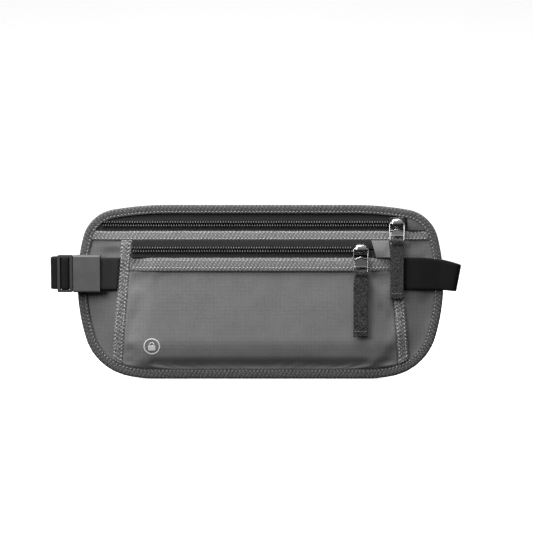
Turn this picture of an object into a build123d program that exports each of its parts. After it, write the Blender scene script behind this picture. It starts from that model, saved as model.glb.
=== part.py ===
from build123d import *

import os
from functools import lru_cache
from math import atan, cos, hypot, radians, sin, tan

# Money belt: a flat zipped waist pouch with two pockets, on an elastic belt with a side-release buckle.
# Millimetres. +X to the viewer's right, the front faces -Y, +Z up.
# Pieces are drawn from the middle of the pouch's bottom edge, and written out from the middle of its back
# at the belt's height, where the wearer's waist carries it.

# ---------------------------------------------------------------- driving dimensions: pouch
POUCH_WIDTH = 290.0
POUCH_HEIGHT = 139.0
FLAT_INSET = 50.0  # the straight top and bottom edges stop this far in from each side
SHOULDER_INSET = 9.0  # top corner point: in from the side
SHOULDER_DROP = 7.0  # top corner point: down from the top
SHOULDER_RADIUS = 30.0
SIDE_BOW = 6.0  # the side's construction point stands this far outside the widest line
SIDE_RISE = 4.0  # and this far above half height
SIDE_RADIUS = 150.0
CORNER_INSET = 12.7  # bottom corner point: in from the side
CORNER_RISE = 8.0  # bottom corner point: up from the bottom
CORNER_RADIUS = 44.0
BASE_EASE_RADIUS = 100.0  # where the straight bottom edge turns into the corners
TOP_EASE_RADIUS = 260.0  # and the straight top edge

EDGE_HALF = 1.2  # half the thickness of the panels' stack at its sewn edge
MAIN_BULGE = 4.5  # how far the main panel swells in front of its edge
BACK_BULGE = 5.0  # how far the back panel swells behind its edge
BULGE_RUN = 26.0  # distance over which a panel rises from its edge to its full swell
PANEL = 0.8  # fabric thickness
LINING = 0.3  # shielding film thickness
LINING_DROP = 2.0  # the film's top edge, below the upper zip's opening
POCKET_STEP = 0.9  # the front pocket's panel lies this far in front of the main panel at its seams
POCKET_BULGE = 5.5
POCKET_SIDE_RUN = 16.0  # distance over which the front pocket rises from its side seams
POCKET_TOP_RUN = 34.0  # and from its top seam
POCKET_TOP_LEAD = 8.0  # that rise starts this far above the pocket's top seam
POCKET_BASE_RUN = 28.0  # and from its bottom edge

BINDING_WIDTH = 7.4
BINDING_LIFT = 0.6  # the binding's inner edge is shifted up, so the lower run is the broader one
BINDING_HALF = 2.2  # half the binding's thickness
BINDING_CLEAR = 0.4  # between the binding's legs and the panels' stack
BINDING_FOLD = 1.0  # the binding's outer fold, outside the panels' raw edge
FACING = 0.8  # thickness of the grosgrain facings
TRIM = 1.9  # thickness of the folded seam tape beside the front pocket
TRIM_WIDTH = 8.6
TRIM_TOP_INSET = 39.3  # seam tape's centre line at its top: in from the side
TRIM_BOTTOM_INSET = 29.7  # and at the bottom edge of the pouch
SEAM_GAP = 0.05  # pieces sewn edge to edge

# ---------------------------------------------------------------- driving dimensions: zips
UPPER_WINDOW_DROP = 20.6  # lower edge of the upper zip's opening, down from the top
UPPER_CHAIN_DROP = 15.4
UPPER_FACING_WIDTH = 7.3
LOWER_WINDOW_HEIGHT = 13.6
LOWER_CHAIN_DROP = 7.5  # lower chain's centre, down from the upper edge of its opening
LOWER_FACING_WIDTH = 10.7
TAPE = 0.5
TAPE_GAP = 1.6  # half the gap between the two tapes, under the teeth
ROW_WIDTH = 2.6  # width of one row of coil teeth
ROW_HEIGHT = 2.2
ROW_GAP = 0.15  # half the gap between the two rows
UPPER_SLIDER_INSET = 37.2  # closed slider's centre, in from the pouch's right side
LOWER_SLIDER_INSET = 66.1
UPPER_TAB_INSET = 28.5  # inner edge of the fabric tab over the closed end
LOWER_TAB_INSET = 57.4
TAB_SLANT = 3.7

# ---------------------------------------------------------------- driving dimensions: slider, pull and ribbon
SLIDER_LENGTH = 13.4
SLIDER_WIDTH = 9.6
SLIDER_CORNER = 2.4
SLIDER_BEVEL = 0.35
SLIDER_STEP = 2.0  # wings and rear plate are shorter than the front plate
SLIDER_PLATE = 1.2
SLIDER_BACK = 0.8  # thickness of the slider's rear plate
SLIDER_WING_WIDTH = 1.7
SLIDER_BACK_WIDTH = 7.2
SLIDER_BACK_CORNER = 2.0
ROW_CLEAR = 0.35  # between the teeth or the tape and the slider's plates
POST_WIDTH = 2.4
POST_INSET = 0.9  # post, in from the slider's leading end
CROWN_LENGTH = 8.6  # along the chain
CROWN_WIDTH = 7.4  # across the chain
CROWN_WALL = 1.1
CROWN_CORNER = 3.0
CROWN_ROUNDING = 1.6
PIN_RADIUS = 0.7
PIN_CLEAR = 0.3
PIN_HEIGHT = 1.3  # pull's pin above the slider's front plate
UPPER_PULL_LENGTH = 15.0
LOWER_PULL_LENGTH = 19.3
PULL_WIRE = 1.3
PULL_CLEAR = 0.5  # between the pull's wires and the crown
PULL_FOOT_WIDTH = CROWN_LENGTH + 2 * (PULL_CLEAR + PULL_WIRE)
PULL_WIDTH = PULL_FOOT_WIDTH + 0.8  # the wires close in towards the foot
PULL_TOP_CORNER = 1.6
PULL_FOOT_CORNER = 1.2
PULL_BEVEL = 0.25
PULL_PLATE_SHARE = 0.42  # where the pull's solid plate starts, as a share of its length
PULL_SLOT_HEIGHT = 3.2  # slot that the ribbon goes through
UPPER_PULL_LEAN = -0.5  # degrees that the hanging pull leans in from the slider's plane
LOWER_PULL_LEAN = 5.0
RIBBON = 1.5
RIBBON_WRAP = 0.7
RIBBON_START = 0.2  # the flat tab starts this far below its loop's bore
UPPER_RIBBON_WIDTH = 10.4
UPPER_RIBBON_LENGTH = 46.0
LOWER_RIBBON_WIDTH = 11.4
LOWER_RIBBON_LENGTH = 51.0
UPPER_RIBBON_LEAN = 0.5  # degrees in from the vertical
LOWER_RIBBON_LEAN = 2.0

# ---------------------------------------------------------------- driving dimensions: belt and buckle
BELT_DROP = 54.2  # belt's centre line, down from the pouch's top
STRAP_WIDTH = 25.4
STRAP = 1.5
STRAP_CLEAR = 0.3
STRAP_BEND = (STRAP + STRAP_CLEAR) / 2  # centre-line radius of a fold onto the next layer
RIGHT_FOLD = 15.0  # the belt's fold stands out from the pouch's right side
FRONT_BEND = 20.0  # radius of the front run's soft bends over the pouch's edge
EDGE_LEAD = 19.0  # the first of them, in from the pouch's side
EDGE_OVER = 3.0  # and the second
EDGE_PUFF = 0.6  # there the run stands this much prouder than at its fold
EDGE_SINK = 0.3  # and at the first bend it has sunk this much from the seam
STACK_HALF = 95.0  # half length of the stored runs behind the pouch
STACK_JOIN = 6.0  # the stored run is joined to the lead this far before its second fold
LEFT_FOLD = 5.8  # the lead's fold stands this far outside the male half
LEFT_FOLD_RADIUS = 4.5
LEAD_JOIN = 0.6  # the lead is joined to the loop through the buckle this far outside the male half
TAIL_FOLD_RADIUS = 2.6
TAIL_LENGTH = 60.0
ANCHOR_LAYER = 1.2
ANCHOR_CLEAR = 0.15  # between the anchor strap and the bar
ANCHOR_OPEN = 8.0  # the doubled strap's gap closes this far before its seam

BUCKLE_SIDE = 2.0  # the buckle stands out above and below the strap
BUCKLE_HEIGHT = STRAP_WIDTH + 2 * BUCKLE_SIDE
BUCKLE_DEPTH = 8.4
BUCKLE_Y = -7.4
BUCKLE_WALL = 1.5
BUCKLE_ROUNDING = 1.6
FEMALE_START = 18.4  # female half's inner end, in from the pouch's left side
FEMALE_LENGTH = 21.0
BAR_RADIUS = 1.2
BAR_INSET = 2.6
CHAMBER_WALL = 1.4
SIDE_WINDOW_START = 2.1  # window in the side wall, from the mouth
SIDE_WINDOW_LENGTH = 7.6
HALVES_GAP = 0.8
MALE_LENGTH = 12.0
MALE_DEPTH = 5.0
MALE_BAR = 2.2
MALE_SLOT = 3.0  # outer strap slot
MALE_RAIL = 1.8  # the frame's top and bottom rails
MALE_CORNER = 1.2
BAR_RELIEF = 0.2  # the middle bar's front is this much nearer its centre than its back
PRONG_DEPTH = 4.6
PRONG_LENGTH = 14.0
PRONG_ARM = 2.4
PRONG_INSET = 7.4  # prong's root, in from the buckle's edge
TONGUE_WIDTH = 5.0
TONGUE_THICKNESS = 2.4
TONGUE_SHORT = 1.5  # the tongue ends this far before the prongs' tips
FUSE = 0.5  # pieces of one moulding run into each other by this much
PRONG_ROOT_GAP = 0.3  # the prong's root, beyond the male half's inner side

MARK_RADIUS = 6.6
MARK_LINE = 1.0
MARK_INSET = 59.0  # in from the pouch's left side
MARK_RISE = 27.0
MARK_THICKNESS = 0.2
MARK_LIFT = 0.02  # between the print and the cloth
LOCK_WIDTH = 6.0
LOCK_HEIGHT = 4.4
LOCK_DROP = 1.3  # the lock's body, below the ring's middle
SHACKLE_RISE = 1.4
SHACKLE_RADIUS = 2.1
SHACKLE_LINE = 0.8
KEYHOLE_RADIUS = 0.7

# ---------------------------------------------------------------- places worked out from the sizes
HALF_WIDTH = POUCH_WIDTH / 2
FACING1_TOP = POUCH_HEIGHT - UPPER_WINDOW_DROP
FACING1_BOTTOM = FACING1_TOP - UPPER_FACING_WIDTH
FACING2_TOP = FACING1_BOTTOM - LOWER_WINDOW_HEIGHT
FACING2_BOTTOM = FACING2_TOP - LOWER_FACING_WIDTH
UPPER_CHAIN_Z = POUCH_HEIGHT - UPPER_CHAIN_DROP
LOWER_CHAIN_Z = FACING1_BOTTOM - LOWER_CHAIN_DROP
BELT_Z = POUCH_HEIGHT - BELT_DROP
UPPER_SLIDER_X = HALF_WIDTH - UPPER_SLIDER_INSET
LOWER_SLIDER_X = HALF_WIDTH - LOWER_SLIDER_INSET
REACH = 40.0  # longer than any piece is deep, for cutting prisms
WAIST = Vector(0, EDGE_HALF + BACK_BULGE, BELT_Z)  # the pouch's back at the belt's height

os.makedirs("parts", exist_ok=True)


# ---------------------------------------------------------------- outlines in the XZ plane
def limited(points, radii):
    """Corner radii of a closed polygon, each reduced where its two sides have no room for it."""
    count = len(points)
    tangents = []
    for i, radius in enumerate(radii):
        before = Vector(*points[i - 1]) - Vector(*points[i])
        after = Vector(*points[(i + 1) % count]) - Vector(*points[i])
        half_turn = radians(180 - before.get_angle(after)) / 2
        tangents.append((radius * tan(half_turn), tan(half_turn)))
    result = []
    for i, (length, slope) in enumerate(tangents):
        room = 1.0
        for j in (i - 1, (i + 1) % count):
            side = hypot(points[i][0] - points[j][0], points[i][1] - points[j][1])
            room = min(room, 0.99 * side / (length + tangents[j][0]))
        result.append(length * room / slope)
    return result


def pouch_face(inset=0.0):
    """The pouch's outer shape, with its bottom edge on z = 0, or the same shape this far inside it."""
    right = [
        (HALF_WIDTH - FLAT_INSET, 0, BASE_EASE_RADIUS),
        (HALF_WIDTH - CORNER_INSET, CORNER_RISE, CORNER_RADIUS),
        (HALF_WIDTH + SIDE_BOW, POUCH_HEIGHT / 2 + SIDE_RISE, SIDE_RADIUS),
        (HALF_WIDTH - SHOULDER_INSET, POUCH_HEIGHT - SHOULDER_DROP, SHOULDER_RADIUS),
        (HALF_WIDTH - FLAT_INSET, POUCH_HEIGHT, TOP_EASE_RADIUS),
    ]
    left = [(-x, z, r) for x, z, r in reversed(right)]
    points = [(x, z) for x, z, r in right + left]
    radii = limited(points, [r for x, z, r in right + left])
    moved = []
    for i, point in enumerate(points):
        before = (Vector(*point) - Vector(*points[i - 1])).normalized()
        after = (Vector(*points[(i + 1) % len(points)]) - Vector(*point)).normalized()
        inward = Vector(-before.Y, before.X) + Vector(-after.Y, after.X)
        moved.append(Vector(*point) + inward * (inset / (1 + before.dot(after))))
    return make_face(FilletPolyline(*moved, radius=[r - inset for r in radii], close=True))


OUTLINE = pouch_face()
INNER = Pos(0, BINDING_LIFT) * pouch_face(BINDING_WIDTH)
PANEL_OUTLINE = pouch_face(BINDING_FOLD)
SEAMED = Pos(0, BINDING_LIFT) * pouch_face(BINDING_WIDTH + SEAM_GAP)


def band_face(z0, z1, x0=-POUCH_WIDTH, x1=POUCH_WIDTH):
    """Rectangle between two heights and two places across."""
    return Pos((x0 + x1) / 2, (z0 + z1) / 2) * Rectangle(x1 - x0, z1 - z0)


def trim_x(z):
    """Centre line of the slanted seam tape on the right."""
    share = z / FACING1_BOTTOM
    return HALF_WIDTH - TRIM_BOTTOM_INSET + share * (TRIM_BOTTOM_INSET - TRIM_TOP_INSET)


def pocket_face(z0, z1, side_gap):
    """The front pocket's trapezoid, its sides this far inside the seam tapes' centre lines."""
    x0 = trim_x(z0) - side_gap
    x1 = trim_x(z1) - side_gap
    return make_face(Polyline((-x0, z0), (x0, z0), (x1, z1), (-x1, z1), close=True))


def prism(face, depth=REACH):
    """The face, drawn in X and Z, run through the whole depth of the pouch."""
    return extrude(Plane.XZ * face, amount=depth, both=True)


# ---------------------------------------------------------------- depth of the soft panels
OUTLINE_SHAPE = OUTLINE.face()
OUTLINE_WIRE = OUTLINE_SHAPE.outer_wire()


def rise(t):
    """Smooth step from 0 to 1."""
    t = min(max(t, 0.0), 1.0)
    return t * t * (3 - 2 * t)


@lru_cache(maxsize=None)
def swell(x, z):
    """0 under the binding, and 1 where the panels have their full depth."""
    if not OUTLINE_SHAPE.is_inside((x, z, 0)):
        return 0.0
    return rise((OUTLINE_WIRE.distance_to((x, z, 0)) - BINDING_WIDTH) / BULGE_RUN)


def main_depth(x, z):
    """Y of the main panel's front side."""
    return -EDGE_HALF - MAIN_BULGE * swell(x, z)


def back_depth(x, z):
    """Y of the back panel's rear side."""
    return EDGE_HALF + BACK_BULGE * swell(x, z)


def pocket_depth(x, z):
    """Y of the front pocket panel's front side."""
    side = rise((trim_x(z) - abs(x)) / POCKET_SIDE_RUN)
    top = rise((FACING1_BOTTOM + POCKET_TOP_LEAD - z) / POCKET_TOP_RUN)
    base = rise((z - BINDING_WIDTH) / POCKET_BASE_RUN)
    return main_depth(x, z) - POCKET_STEP - POCKET_BULGE * side * top * base


GRID = 8.0
SURFACE_MARGIN = 2.0


@lru_cache(maxsize=None)
def surface(depth):
    """One smooth face that follows a depth over the whole pouch, so that sheets made from it nest."""
    columns = round(POUCH_WIDTH / GRID)
    rows = round(POUCH_HEIGHT / GRID)
    width = POUCH_WIDTH + 2 * SURFACE_MARGIN
    height = POUCH_HEIGHT + 2 * SURFACE_MARGIN
    xs = [-width / 2 + width * i / columns for i in range(columns + 1)]
    zs = [-SURFACE_MARGIN + height * i / rows for i in range(rows + 1)]
    grid = [[Vector(x, depth(x, z), z) for z in zs] for x in xs]
    return Face.make_surface_from_array_of_points(grid, tol=0.02)


def follow(face, depth, front, back):
    """A sheet that follows a depth, between two distances from it, cut to an outline."""
    slab = extrude(Pos(0, front, 0) * surface(depth), amount=back - front, dir=(0, 1, 0))
    return slab & prism(face)


# ---------------------------------------------------------------- straight zip planes
class ZipPlane:
    """The plane that a zip's tapes lie in: it leans back as the panel does at the chain."""

    def __init__(self, depth, chain_z, slider_x):
        step = 1.0
        self.z = chain_z
        self.y = depth(0, chain_z)
        self.lean = atan((depth(0, chain_z + step) - depth(0, chain_z - step)) / (2 * step))
        normal = (0, -cos(self.lean), sin(self.lean))
        self.plane = Plane(origin=(0, self.y, chain_z), x_dir=(1, 0, 0), z_dir=normal)
        self.slider_x = slider_x

    def place(self, shape, x=0.0, height=0.0):
        """Local X along the chain, local Y up the tape, local Z out of the front."""
        return self.plane.location * Pos(x, 0, height) * shape

    def strip(self, low, high, x0, x1, bottom, top):
        """A bar along the chain, between two places across it and two heights over the tape's front."""
        size = Box(x1 - x0, high - low, top - bottom)
        return self.place(Pos((x0 + x1) / 2, (low + high) / 2, (bottom + top) / 2) * size)


UPPER = ZipPlane(main_depth, UPPER_CHAIN_Z, UPPER_SLIDER_X)
LOWER = ZipPlane(pocket_depth, LOWER_CHAIN_Z, LOWER_SLIDER_X)


# ---------------------------------------------------------------- soft panels
def make_panels():
    window = INNER & band_face(FACING1_TOP, POUCH_HEIGHT)
    main = follow(PANEL_OUTLINE - window, main_depth, 0, PANEL)
    back = follow(PANEL_OUTLINE, back_depth, -PANEL, 0)
    lined = PANEL_OUTLINE & band_face(0, FACING1_TOP - LINING_DROP)
    film = follow(lined, back_depth, -PANEL - SEAM_GAP - LINING, -PANEL - SEAM_GAP)
    pocket = pocket_face(0, FACING2_TOP - SEAM_GAP, TRIM_WIDTH / 2 + SEAM_GAP) & SEAMED
    front = follow(pocket, pocket_depth, 0, PANEL)
    return {"main_panel": main, "back_panel": back, "shielding_lining": film, "front_panel": front}


def make_binding():
    ring = extrude(Plane.XZ * (OUTLINE - INNER), amount=BINDING_HALF, both=True)
    stack = extrude(Plane.XZ * PANEL_OUTLINE, amount=EDGE_HALF + BINDING_CLEAR, both=True)
    return ring - stack


def make_facings():
    upper = band_face(FACING1_BOTTOM, FACING1_TOP) & SEAMED
    lower = pocket_face(FACING2_BOTTOM, FACING2_TOP, TRIM_WIDTH / 2 + SEAM_GAP)
    near = -SEAM_GAP
    far = -SEAM_GAP - FACING
    return follow(upper, main_depth, far, near), follow(lower, pocket_depth, far, near)


def make_trims():
    low = trim_x(0)
    high = trim_x(FACING1_BOTTOM - SEAM_GAP)
    half = TRIM_WIDTH / 2
    top = FACING1_BOTTOM - SEAM_GAP
    strip = Polyline((low - half, 0), (low + half, 0), (high + half, top), (high - half, top), close=True)
    right = make_face(strip) & SEAMED
    left = mirror(right, about=Plane.YZ)
    return [follow(face, main_depth, -SEAM_GAP - TRIM, -SEAM_GAP) for face in (left, right)]


# ---------------------------------------------------------------- zips
def make_zip(zip_plane, window, tab_face):
    """Two tapes, two rows of teeth up to the closed slider's post, and the fabric tab over the end."""
    opening = prism(offset(window, amount=-SEAM_GAP))
    box = window.bounding_box()
    x0 = box.min.X
    x1 = box.max.X
    reach = LOWER_WINDOW_HEIGHT
    top_tape = zip_plane.strip(TAPE_GAP, reach, x0, x1, -TAPE, 0) & opening
    bottom_tape = zip_plane.strip(-reach, -TAPE_GAP, x0, x1, -TAPE, 0) & opening
    row_end = zip_plane.slider_x + SLIDER_LENGTH / 2 - POST_INSET - POST_WIDTH - ROW_CLEAR
    rows = prism(offset(window, amount=-2 * SEAM_GAP))
    outer = ROW_GAP + ROW_WIDTH
    top_row = zip_plane.strip(ROW_GAP, outer, x0, row_end, SEAM_GAP, ROW_HEIGHT) & rows
    bottom_row = zip_plane.strip(-outer, -ROW_GAP, x0, row_end, SEAM_GAP, ROW_HEIGHT) & rows
    tab = zip_plane.strip(-reach, reach, x0, x1, SEAM_GAP, SEAM_GAP + PANEL) & prism(tab_face & window)
    return top_tape, bottom_tape, top_row, bottom_row, tab


def tab_outline(inset, slant, z0, z1):
    """Everything right of a slanted line."""
    x = HALF_WIDTH - inset
    line = Polyline((x + slant, z0), (POUCH_WIDTH, z0), (POUCH_WIDTH, z1), (x, z1), close=True)
    return make_face(line)


# ---------------------------------------------------------------- slider, pull and ribbon, in the zip's plane
PLATE_BASE = ROW_HEIGHT + ROW_CLEAR
PLATE_TOP = PLATE_BASE + SLIDER_PLATE
HINGE_HEIGHT = PLATE_TOP + PIN_HEIGHT


def slab(length, width, bottom, top, radius):
    """A flat plate with rounded corners, between two heights."""
    outline = RectangleRounded(length, width, radius)
    return Pos(0, 0, bottom) * extrude(outline, amount=top - bottom)


def make_slider_body():
    front = slab(SLIDER_LENGTH, SLIDER_WIDTH, PLATE_BASE, PLATE_TOP, SLIDER_CORNER)
    front = chamfer(front.faces().sort_by(Axis.Z)[-1].edges(), SLIDER_BEVEL)
    wing = Box(SLIDER_LENGTH - SLIDER_STEP, SLIDER_WING_WIDTH, PLATE_BASE - ROW_CLEAR)
    wing_y = (SLIDER_WIDTH - SLIDER_WING_WIDTH) / 2
    wing_z = (PLATE_BASE + ROW_CLEAR) / 2
    wings = [Pos(0, side * wing_y, wing_z) * wing for side in (-1, 1)]
    back_top = -TAPE - ROW_CLEAR
    back_bottom = back_top - SLIDER_BACK
    back = slab(SLIDER_LENGTH - SLIDER_STEP, SLIDER_BACK_WIDTH, back_bottom, back_top, SLIDER_BACK_CORNER)
    post_height = PLATE_BASE + SLIDER_PLATE / 2 - back_bottom
    post_x = SLIDER_LENGTH / 2 - POST_INSET - POST_WIDTH / 2
    post = Pos(post_x, 0, back_bottom + post_height / 2) * Box(POST_WIDTH, POST_WIDTH, post_height)
    return front + wings + back + post


def make_crown():
    """An arch across the chain over the pull's pin, pressed onto the front plate."""
    hole = PIN_RADIUS + PIN_CLEAR
    height = PIN_HEIGHT + hole + CROWN_WALL
    arch = slab(CROWN_LENGTH, CROWN_WIDTH, PLATE_TOP, PLATE_TOP + height, CROWN_CORNER)
    arch = fillet(arch.faces().sort_by(Axis.Z)[-1].edges(), CROWN_ROUNDING)
    tunnel = Pos(0, 0, PLATE_TOP + PIN_HEIGHT / 2) * Box(CROWN_LENGTH + 1, 2 * hole, PIN_HEIGHT)
    tunnel += Pos(0, 0, HINGE_HEIGHT) * Rot(0, 90, 0) * Cylinder(hole, CROWN_LENGTH + 1)
    return arch - tunnel


def make_pull(length):
    """Pin at the origin along X, two wires beside the crown, a plate, and a slot above the ribbon's bar."""
    half_top = PULL_WIDTH / 2
    half_foot = PULL_FOOT_WIDTH / 2
    outer = Polyline(
        (-half_top, PIN_RADIUS),
        (half_top, PIN_RADIUS),
        (half_foot, -length),
        (-half_foot, -length),
        close=True,
    )
    body = make_face(outer)
    body = fillet(body.vertices().group_by(Axis.Y)[-1], PULL_TOP_CORNER)
    body = fillet(body.vertices().group_by(Axis.Y)[0], PULL_FOOT_CORNER)
    inside = half_foot - PULL_WIRE
    plate_top = PULL_PLATE_SHARE * length
    window = Pos(0, -(PIN_RADIUS + plate_top) / 2)
    body -= window * Rectangle(2 * inside, plate_top - PIN_RADIUS)
    slot_y = -length + 2 * PIN_RADIUS + PULL_SLOT_HEIGHT / 2
    body -= Pos(0, slot_y) * Rectangle(2 * inside, PULL_SLOT_HEIGHT)
    plate = extrude(body, amount=PIN_RADIUS, both=True)
    edges = plate.edges().group_by(Axis.Z)
    return chamfer(edges[0] + edges[-1], PULL_BEVEL)


def make_ribbon(width, length):
    """A folded webbing tab with its loop round a bar at the origin."""
    bore = PIN_RADIUS + PIN_CLEAR
    loop_width = PULL_FOOT_WIDTH - 2 * PULL_WIRE - 2 * PIN_CLEAR
    loop = Rot(0, 90, 0) * (Cylinder(bore + RIBBON_WRAP, loop_width) - Cylinder(bore, loop_width))
    top = bore + RIBBON_START
    tab = Pos(0, -(top + length) / 2, 0) * Box(width, length - top, RIBBON)
    return loop + tab


def make_pull_set(zip_plane, pull_length, pull_lean, ribbon_width, ribbon_length, ribbon_lean):
    """Slider body, crown, pull and ribbon of one zip, each in place."""
    x = zip_plane.slider_x
    body = zip_plane.place(make_slider_body(), x)
    crown = zip_plane.place(make_crown(), x)
    pull = zip_plane.place(Rot(pull_lean, 0, 0) * make_pull(pull_length), x, HINGE_HEIGHT)
    bar_drop = pull_length - PIN_RADIUS
    bar = zip_plane.place(Rot(pull_lean, 0, 0) * Pos(0, -bar_drop, 0), x, HINGE_HEIGHT)
    pin = zip_plane.place(Pos(), x, HINGE_HEIGHT)
    upright = Plane(origin=bar.position, x_dir=(1, 0, 0), z_dir=(0, -1, 0)).location
    ribbon = upright * Rot(ribbon_lean, 0, 0) * make_ribbon(ribbon_width, ribbon_length)
    return body, crown, pull, ribbon, pin.position, bar.position


# ---------------------------------------------------------------- belt
def strap_run(points, bend, width=STRAP_WIDTH, thickness=STRAP):
    """Webbing whose centre line, seen from above, goes through these points with rounded turns."""
    path = [Vector(x, y) for x, y in points]
    sides = []
    for side in (-1, 1):
        shifted = []
        radii = []
        for i, point in enumerate(path):
            ahead = (path[min(i + 1, len(path) - 1)] - path[max(min(i, len(path) - 2), 0)]).normalized()
            behind = (path[max(i, 1)] - path[max(i, 1) - 1]).normalized()
            normal = Vector(-(ahead.Y + behind.Y), ahead.X + behind.X).normalized()
            stretch = 1 / (normal.X * -ahead.Y + normal.Y * ahead.X)
            shifted.append(point + normal * (side * thickness / 2 * stretch))
            turn = behind.X * ahead.Y - behind.Y * ahead.X
            turn_side = side if turn > 0 else -side
            radii.append(bend[i - 1] - turn_side * thickness / 2 if 0 < i < len(path) - 1 else 0)
        sides.append(FilletPolyline(*shifted, radius=radii[1:-1]))
    caps = [Line(sides[0] @ 0, sides[1] @ 0), Line(sides[0] @ 1, sides[1] @ 1)]
    outline = make_face(sides[0].edges() + sides[1].edges() + caps)
    return Pos(0, 0, BELT_Z - width / 2) * extrude(outline, amount=width)


def belt_places():
    """The heights behind the pouch of the three stored runs, and the places of the belt's folds."""
    first = EDGE_HALF + BACK_BULGE + STRAP_CLEAR + STRAP / 2
    step = STRAP + STRAP_CLEAR
    return first, first + step, first + 2 * step


MOUTH_X = -HALF_WIDTH + FEMALE_START - FEMALE_LENGTH
MALE_RIGHT = MOUTH_X - HALVES_GAP
MALE_LEFT = MALE_RIGHT - MALE_LENGTH
OUTER_SLOT_X = MALE_LEFT + MALE_BAR + MALE_SLOT / 2
MIDDLE_BAR_X = MALE_LEFT + MALE_BAR + MALE_SLOT + MALE_BAR / 2
INNER_SLOT_X = (MIDDLE_BAR_X + MALE_BAR / 2 + MALE_RIGHT - MALE_BAR) / 2
MALE_BACK = BUCKLE_Y + MALE_DEPTH / 2
LEAD_FRONT_Y = MALE_BACK + STRAP_CLEAR + STRAP / 2
TAIL_FRONT_Y = LEAD_FRONT_Y + STRAP + STRAP_CLEAR
LEFT_FOLD_X = MALE_LEFT - LEFT_FOLD
BAR_FRONT_Y = BUCKLE_Y - BAR_RADIUS + BAR_RELIEF


def make_belt():
    near, middle, far = belt_places()
    start_x = trim_x(BELT_Z - STRAP_WIDTH / 2) + TRIM_WIDTH / 2 + SEAM_GAP
    start_y = -EDGE_HALF - MAIN_BULGE - STRAP_CLEAR - STRAP / 2
    edge_y = -BINDING_HALF - STRAP_CLEAR - STRAP / 2
    fold_x = HALF_WIDTH + RIGHT_FOLD - STRAP / 2
    fold_radius = (near - edge_y) / 2 - 0.1
    stored = [
        (start_x, start_y),
        (HALF_WIDTH - EDGE_LEAD, start_y + EDGE_SINK),
        (HALF_WIDTH - EDGE_OVER, edge_y - EDGE_PUFF),
        (fold_x, edge_y),
        (fold_x, near),
        (-STACK_HALF, near),
        (-STACK_HALF, middle),
        (STACK_HALF - STACK_JOIN, middle),
    ]
    tight = STRAP_BEND - 0.01
    strap = strap_run(stored, [FRONT_BEND, FRONT_BEND, fold_radius, fold_radius, tight, tight])
    join_x = MALE_LEFT - LEAD_JOIN
    lead = [
        (STACK_HALF - STACK_JOIN + SEAM_GAP, middle),
        (STACK_HALF, middle),
        (STACK_HALF, far),
        (LEFT_FOLD_X, far),
        (LEFT_FOLD_X, LEAD_FRONT_Y),
        (join_x - SEAM_GAP, LEAD_FRONT_Y),
    ]
    lead_strap = strap_run(lead, [tight, tight, LEFT_FOLD_RADIUS, LEFT_FOLD_RADIUS])
    over_y = BAR_FRONT_Y - STRAP_CLEAR - STRAP / 2
    inner_fold = LEFT_FOLD_X + STRAP + STRAP_CLEAR
    tail = [
        (join_x, LEAD_FRONT_Y),
        (OUTER_SLOT_X, LEAD_FRONT_Y),
        (OUTER_SLOT_X, over_y),
        (INNER_SLOT_X, over_y),
        (INNER_SLOT_X, TAIL_FRONT_Y),
        (inner_fold, TAIL_FRONT_Y),
        (inner_fold, middle),
        (inner_fold + TAIL_LENGTH, middle),
    ]
    loop = strap_run(tail, [tight, tight, tight, tight, TAIL_FOLD_RADIUS, TAIL_FOLD_RADIUS])
    return strap, lead_strap, loop


# ---------------------------------------------------------------- buckle
def block(x0, x1, y0, y1, z0, z1):
    """A box between two corners."""
    return Pos((x0 + x1) / 2, (y0 + y1) / 2, (z0 + z1) / 2) * Box(x1 - x0, y1 - y0, z1 - z0)


BUCKLE_LOW = BELT_Z - BUCKLE_HEIGHT / 2
BUCKLE_HIGH = BELT_Z + BUCKLE_HEIGHT / 2
FEMALE_END = MOUTH_X + FEMALE_LENGTH
BAR_X = FEMALE_END - BAR_INSET
CAVITY_HALF = BUCKLE_DEPTH / 2 - BUCKLE_WALL


def make_female():
    """Flat sleeve with a mouth for the prongs, side windows for their buttons, and the strap's bar."""
    shell = block(
        MOUTH_X,
        FEMALE_END,
        BUCKLE_Y - BUCKLE_DEPTH / 2,
        BUCKLE_Y + BUCKLE_DEPTH / 2,
        BUCKLE_LOW,
        BUCKLE_HIGH,
    )
    shell = fillet(shell.edges().filter_by(Axis.X), BUCKLE_ROUNDING)
    divider_x = BAR_X - BAR_RADIUS - ANCHOR_LAYER - STRAP_CLEAR - CHAMBER_WALL
    low = BUCKLE_LOW + BUCKLE_WALL
    high = BUCKLE_HIGH - BUCKLE_WALL
    y0 = BUCKLE_Y - CAVITY_HALF
    y1 = BUCKLE_Y + CAVITY_HALF
    shell -= block(MOUTH_X - 1, divider_x, y0, y1, low, high)
    shell -= block(divider_x + CHAMBER_WALL, FEMALE_END + 1, y0, y1, low, high)
    window_x0 = MOUTH_X + SIDE_WINDOW_START
    window_x1 = window_x0 + SIDE_WINDOW_LENGTH
    shell -= block(window_x0, window_x1, y0, y1, BUCKLE_LOW - 1, BUCKLE_HIGH + 1)
    bar = Pos(BAR_X, BUCKLE_Y, BELT_Z) * Cylinder(BAR_RADIUS, BUCKLE_HEIGHT - BUCKLE_WALL)
    return shell + bar


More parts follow.
